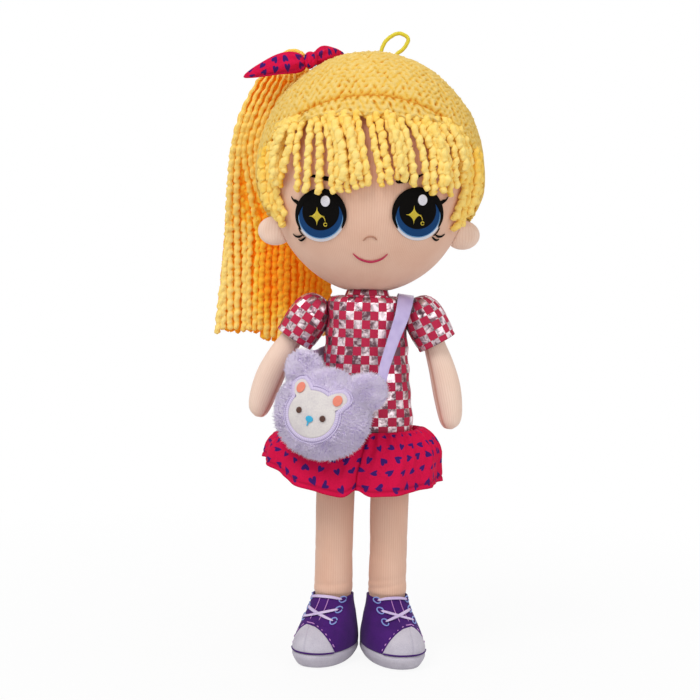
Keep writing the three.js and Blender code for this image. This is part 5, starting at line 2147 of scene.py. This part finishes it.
@dataclass
class Bag:
    """The plush shoulder bag: two furry panels and a small animal's face in felt and thread."""

    middle: Vector = field(default_factory=lambda: Vector((-25.9, -41, 160.4)))
    half: Vector = field(default_factory=lambda: Vector((30, 11, 27)))
    lobe: Vector = field(default_factory=lambda: Vector((21.6, 0, 21.5)))
    lobe_half: Vector = field(default_factory=lambda: Vector((11, 6.5, 11)))
    face: Vector = field(default_factory=lambda: Vector((-3, 0, -3)))
    felt_half: tuple[float, float] = (15.6, 14.8)
    felt_ear: tuple[float, float] = (13.0, 13.4)
    felt_ear_radius: float = 5.6
    # how far each border lies outside the felt, its thickness and half its width
    borders: tuple[Row, ...] = ((1.1, 0.8, 1.25), (3.0, 0.45, 0.5))
    eyes_x: tuple[float, float] = (-8.2, 8.4)
    nose_line: tuple[Row, ...] = ((0.4, -4.4, 0.5), (0.35, -6.2, 0.5), (0.3, -8.0, 0.35))
    tufts: int = 24000
    pile: float = 3.3

    def __post_init__(self) -> None:
        """Works out the turn at which the bag hangs."""
        turn = Matrix.Rotation(math.radians(-16), 4, "Z") @ Matrix.Rotation(math.radians(-12), 4, "X")
        self.turned = Matrix.Translation(self.middle) @ turn @ Matrix.Rotation(math.radians(17), 4, "Y")

    def front(self, x: float, z: float, lift: float) -> Vector:
        """The place on the pouch's front at x and z from the face's middle, in the doll's frame."""
        x, z = x + self.face.x, z + self.face.z
        inside = 1 - (x / (self.half.x + lift)) ** 2 - (z / (self.half.z + lift)) ** 2
        return self.turned @ Vector((x, -(self.half.y + lift) * math.sqrt(max(inside, 0.0)), z))

    def looks(self, p: Vector) -> Vector:
        """The way that the pouch's front looks near a point."""
        q = self.turned.inverted() @ p
        n = Vector((q.x / self.half.x**2, q.y / self.half.y**2, q.z / self.half.z**2)).normalized()
        return self.turned.to_3x3() @ n

    def reach(self, angle: float) -> float:
        """The outline of the felt face with its two ears, as a radius at an angle."""
        best = 1 / math.hypot(cos(angle) / self.felt_half[0], sin(angle) / self.felt_half[1])
        radius, z = self.felt_ear_radius, self.felt_ear[1]
        for x in (-self.felt_ear[0], self.felt_ear[0]):
            away, toward = math.hypot(x, z), math.atan2(z, x)
            off = away * sin(angle - toward)
            if abs(off) < radius and cos(angle - toward) > 0:
                best = max(best, away * cos(angle - toward) + math.sqrt(radius**2 - off**2))
        return best

    def build(self) -> None:
        """Makes the panels, the face and its embroidery."""
        self.panel("front", -1)
        self.panel("back", 1)
        self.felt()
        self.border()
        self.features()

    def panel(self, word: str, way: int) -> None:
        """One furry panel: a dense pile over half of the pouch and half of each ear lobe.

        Args:
            word: front or back.
            way: The sign of y on the panel's own side.
        """
        bm = bmesh.new()
        lobes = [(side.of(self.lobe), self.lobe_half) for side in Side]
        for at, half in [(Vector((0, 0, 0)), self.half), *lobes]:

            def place(u: float, v: float, at: Vector = at, half: Vector = half) -> Vector:
                """The backing cloth of the pile."""
                n = direction(pi * u * way, pi * (v - 0.5))
                p = at + stretched(n, half)
                p += n * (0.8 * noise.noise(p * 0.22) + 0.7 * noise.noise(p * 0.6))
                if u in (0.0, 1.0):
                    p.y = 0.12 * way
                return p

            # the backing takes the deep colour: painted shade under the pile
            wrap(bm, 64, 44, place, lambda u, v: (u * 60, v * 60), lambda u, v: 0.7)
        bmesh.ops.remove_doubles(bm, verts=bm.verts, dist=WELD)
        bmesh.ops.holes_fill(bm, edges=[e for e in bm.edges if e.is_boundary], sides=0)
        self.fur(bm, way)
        bmesh.ops.transform(bm, matrix=self.turned, verts=bm.verts)
        sew(bm, f"bag_plush_{word}", "bag", PLUSH, [f"bag_{word}"])

    def fur(self, bm: Mesh, way: int) -> None:
        """Adds fine tapered tufts, combed out and down over the backing.

        Args:
            bm: The backing cloth.
            way: The sign of y on the panel's own side.
        """
        lot = random.Random(41 + way)
        faces = [f for f in bm.faces if f.calc_center_median().y * way > 0.4]
        points: list[Vector] = []
        spikes: list[tuple[int, int, int]] = []
        tones: list[float] = []
        for f in lot.choices(faces, [f.calc_area() for f in faces], k=self.tufts):
            p = f.calc_center_median() + Vector((lot.uniform(-0.6, 0.6), 0, lot.uniform(-0.6, 0.6)))
            away = Vector((p.x - self.face.x, 0, p.z - self.face.z))
            if way < 0 and away.length < self.reach(math.atan2(away.z, away.x)) + 2.4:
                continue
            n = f.normal if f.normal.y * way > 0 else -f.normal
            swirl = noise.noise_vector(p * 0.08)
            stray = Vector((lot.uniform(-1, 1), lot.uniform(-1, 1), lot.uniform(-1, 1)))
            down = Vector((p.x, 0, p.z - 4)).normalized()
            lean = (n * 0.55 + down * 0.45 + swirl * 0.9 + stray * 0.35).normalized()
            side = lean.cross(n).normalized() * lot.uniform(0.25, 0.48)
            tall = self.pile * lot.uniform(0.6, 1.15)
            k = len(points)
            points += [p + side - n * 0.3, p - side - n * 0.3, p + n * 0.55, p + lean * tall + n * 0.2]
            spikes += [(k, k + 1, k + 3), (k + 1, k + 2, k + 3), (k + 2, k, k + 3), (k, k + 2, k + 1)]
            tone = lot.uniform(-0.08, 0.08) + 0.25 * noise.noise(p * 0.16)
            # painted shade deep in the pile: darkest at each tuft's root, palest at its tip
            tones += [base + tone for base in (0.6, 0.6, 0.4, 0.05)]
        pile = bpy.data.meshes.new("pile")
        pile.from_pydata(points, [], spikes)
        start = len(bm.verts)
        bm.from_mesh(pile)
        bpy.data.meshes.remove(pile)
        bm.verts.ensure_lookup_table()
        depth = bm.verts.layers.float["shade"]
        for k, tone in enumerate(tones):
            bm.verts[start + k][depth] = max(0.0, tone)

    def felt(self) -> None:
        """The felt face, one piece with its ears."""
        bm = bmesh.new()
        pad(bm, self, (0, 0), self.reach, 0.9, 1.3, 120, 18)
        sew(bm, "bag_felt_face", "bag", FELT, ["bag_face"])

    def border(self) -> None:
        """The satin-stitched border round the felt and the finer row of thread outside it."""
        bm = bmesh.new()
        for out, thick, half in self.borders:
            path = []
            for k in range(121):
                angle = 2 * pi * k / 120
                r = sum(self.reach(angle + d) for d in (-0.09, -0.045, 0, 0.045, 0.09)) / 5 + out
                path.append(self.front(r * cos(angle), r * sin(angle), 1.5))
            looks = [self.looks(p) for p in path]
            sweep(bm, path, lambda k, a: (thick * cos(a), half * sin(a)), 12, looks)
        sew(bm, "bag_face_border", "bag", LILAC_THREAD)

    def features(self) -> None:
        """Inner ears, eyes and nose."""
        for side, eye_x in zip(Side, self.eyes_x):
            bm = bmesh.new()
            pad(bm, self, (side.value * self.felt_ear[0], 13.2), (2.9, 3.5), 2.25, 0.9, 28, 10)
            word = side.word
            sew(bm, f"bag_ear_thread_{word}", "bag", CORAL_THREAD, [f"bag_inner_ear_{word}"])
            bm = bmesh.new()
            pad(bm, self, (eye_x, -0.4), (1.9, 2.0), 2.2, 0.9, 24, 10)
            sew(bm, f"bag_eye_thread_{word}", "bag", BROWN_THREAD, [f"bag_eye_{word}"])
        bm = bmesh.new()
        pad(bm, self, (0.4, -3.4), (2.5, 2.0), 2.2, 0.9, 24, 10)
        seam(bm, self, self.nose_line, 2.2, 0.7, 10)
        sew(bm, "bag_nose_thread", "bag", CYAN_THREAD, ["bag_nose"])


@dataclass
class Strap:
    """The satin ribbon that carries the bag, over the left shoulder and back under the right arm."""

    width: float = 10.0
    thick: float = 0.8
    cloth: float = 0.55
    cut_width: float = 0.0102  # with its two raised edges laid flat
    # a place on the ribbon's inner face, then the way that its outer face looks
    route: tuple[Row, ...] = (
        (9.2, -41, 175, 0.1, -1, 0.1), (11.8, -34.4, 189.6, 0.25, -1, 0.25),
        (17.2, -25.3, 207, 0.45, -1, 0.25), (22, -20.6, 221, 0.4, -1, 0.45),
        (24.4, -11.2, 231.4, 0.25, -0.6, 1), (24.8, 0, 233.7, 0.12, 0, 1),
        (24, 11.2, 231.4, 0.25, 0.6, 1), (19.4, 21.6, 221, 0.3, 1, 0.4), (9, 25, 209, 0.15, 1, 0.1),
        (-6, 26, 201, -0.15, 1, 0), (-20, 22, 196, -0.6, 1, 0), (-28.6, 10, 193.5, -1, 0.4, 0),
        (-30.6, -4, 193, -1, -0.1, 0), (-33, -15, 193.5, -1, -0.2, 0.1), (-38, -24, 194.5, -0.9, -0.6, 0.2),
    )  # fmt: skip

    def build(self) -> None:
        bm = bmesh.new()
        count = 150
        path = smooth_path([row[:3] for row in self.route], count)
        rail = rails(path, smooth_path([row[3:] for row in self.route], count))
        run = lengths(path)

        def place(u: float, v: float) -> Vector:
            """The ribbon's outer face, with a slight curl and raised edges."""
            middle, out, across = rail[round(v * count)]
            edge = abs(2 * u - 1)
            lift = self.thick + 0.12 * (edge > 0.86) - 0.1 * edge**2
            tuck = mix(0.6, 1.0, ease(v, 0.0, 0.3)) * mix(0.8, 1.0, ease(v, 1.0, 0.85))
            return middle + out * lift + across * (self.width * tuck * (0.5 - u))

        wrap(bm, 14, count, place, lambda u, v: (u * self.width, run[round(v * count)]))
        size = area(bm)
        flat = (self.cut_width, run[-1] * MM)
        piece = sew(bm, "bag_ribbon", "torso", SATIN, ["bag_strap"], wall=self.cloth)
        rests_on, largest = ["dress_bodice", "bag_plush_back"], flat[0] * flat[1]
        min(size, largest)
        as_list(rests_on)


@dataclass
class Studio:
    """The camera at the photograph's place, a plain pale floor and soft lights."""

    eye: Vector = field(default_factory=lambda: Vector((0, -1100, 268)))
    aim: Vector = field(default_factory=lambda: Vector((0, 0, 198)))
    focal: float = 1706.0  # in pixels of a frame 700 wide
    frame_width: float = 700.0
    sensor: float = 36.0
    middle: float = 366.0
    roll: float = 1.4

    def camera(self) -> None:
        """Places the camera, turned so that the doll leans a little to the right, as in the photograph."""
        data = bpy.data.cameras.new("view")
        data.sensor_width = self.sensor
        data.lens = self.focal / self.frame_width * self.sensor
        data.shift_x = (self.frame_width / 2 - self.middle) / self.frame_width
        data.clip_end = 20
        ahead = (self.aim - self.eye).normalized()
        right = ahead.cross(Vector((0, 0, 1))).normalized()
        up = right.cross(ahead)
        turn = math.radians(self.roll)
        right, up = right * cos(turn) + up * sin(turn), up * cos(turn) - right * sin(turn)
        facing = Matrix((right, up, -ahead)).transposed().to_4x4()
        camera = bpy.data.objects.new("view", data)
        bpy.context.collection.objects.link(camera)
        camera.matrix_world = Matrix.Translation(ORIGIN + self.eye * MM) @ facing
        bpy.context.scene.camera = camera

    def floor(self) -> None:
        """A wide sheet of pale paper under the doll."""
        bm = bmesh.new()
        bmesh.ops.create_circle(bm, cap_ends=True, segments=64, radius=6)
        bmesh.ops.translate(bm, verts=bm.verts, vec=(0, 0, -0.0005))
        mesh = bpy.data.meshes.new("floor_paper")
        bm.to_mesh(mesh)
        bm.free()
        mesh.materials.append(Paper("floor_matt_paper").material())
        floor = bpy.data.objects.new("floor_paper", mesh)
        bpy.context.collection.objects.link(floor)

    def lamp(self, name: str, at: tuple[float, float, float], size: float, power: float) -> None:
        """One soft square lamp that looks at the doll's middle.

        Args:
            name: The lamp's name.
            at: Its place, in metres.
            size: Its side, in metres.
            power: Its power, in watts.
        """
        data = bpy.data.lights.new(name, "AREA")
        data.size = size
        data.energy = power
        lamp = bpy.data.objects.new(name, data)
        bpy.context.collection.objects.link(lamp)
        lamp.location = at
        lamp.rotation_euler = (Vector((0, 0, 0.2)) - Vector(at)).to_track_quat("-Z", "Y").to_euler()

    def light(self) -> None:
        """A key from the upper left, a fill from the right, a lamp behind and a white room."""
        self.lamp("key", (-0.7, -1.1, 1.7), 1.0, 20)
        self.lamp("fill", (1.3, -1.3, 0.9), 1.2, 7)
        self.lamp("back", (0.3, 1.4, 1.2), 1.0, 7)
        world = bpy.data.worlds.new("room")
        bpy.context.scene.world = world
        world.use_nodes = True
        graph = Graph(world.node_tree)
        rays = graph.add("LightPath")
        seen = graph.add("Math", {0: rays["Is Camera Ray"], 1: rays["Is Glossy Ray"]}, operation="MAXIMUM")[0]
        strength = graph.add("MapRange", {"Value": seen, "To Min": 0.5, "To Max": 1.0})[0]
        graph.feed(world.node_tree.nodes["Background"], {"Strength": strength, "Color": (1, 1, 1, 1)})

    def build(self) -> None:
        """Sets up the whole studio."""
        self.camera()
        self.floor()
        self.light()
        bpy.context.scene.view_settings.view_transform = "Standard"


def main() -> None:
    """Builds the studio and every piece of the doll in order."""
    noise.seed_set(3)
    logging.basicConfig(level=logging.INFO, format="%(message)s")
    assemblies = [
        Studio(),
        HangingLoop(),
        Head(),
        Face(),
        Hair(),
        Ponytail(),
        Bow(),
        Body(),
        Skirt(),
        Arm(Side.RIGHT, 27, 33, 4.5),
        Arm(Side.LEFT, 16, 29, 3.5),
        *[Leg(side) for side in Side],
        *[Sneaker(side) for side in Side],
        Bag(),
        Strap(),
    ]
    for assembly in assemblies:
        assembly.build()
        log.info("%s done", type(assembly).__name__)


if __name__ == "__main__":
    main()
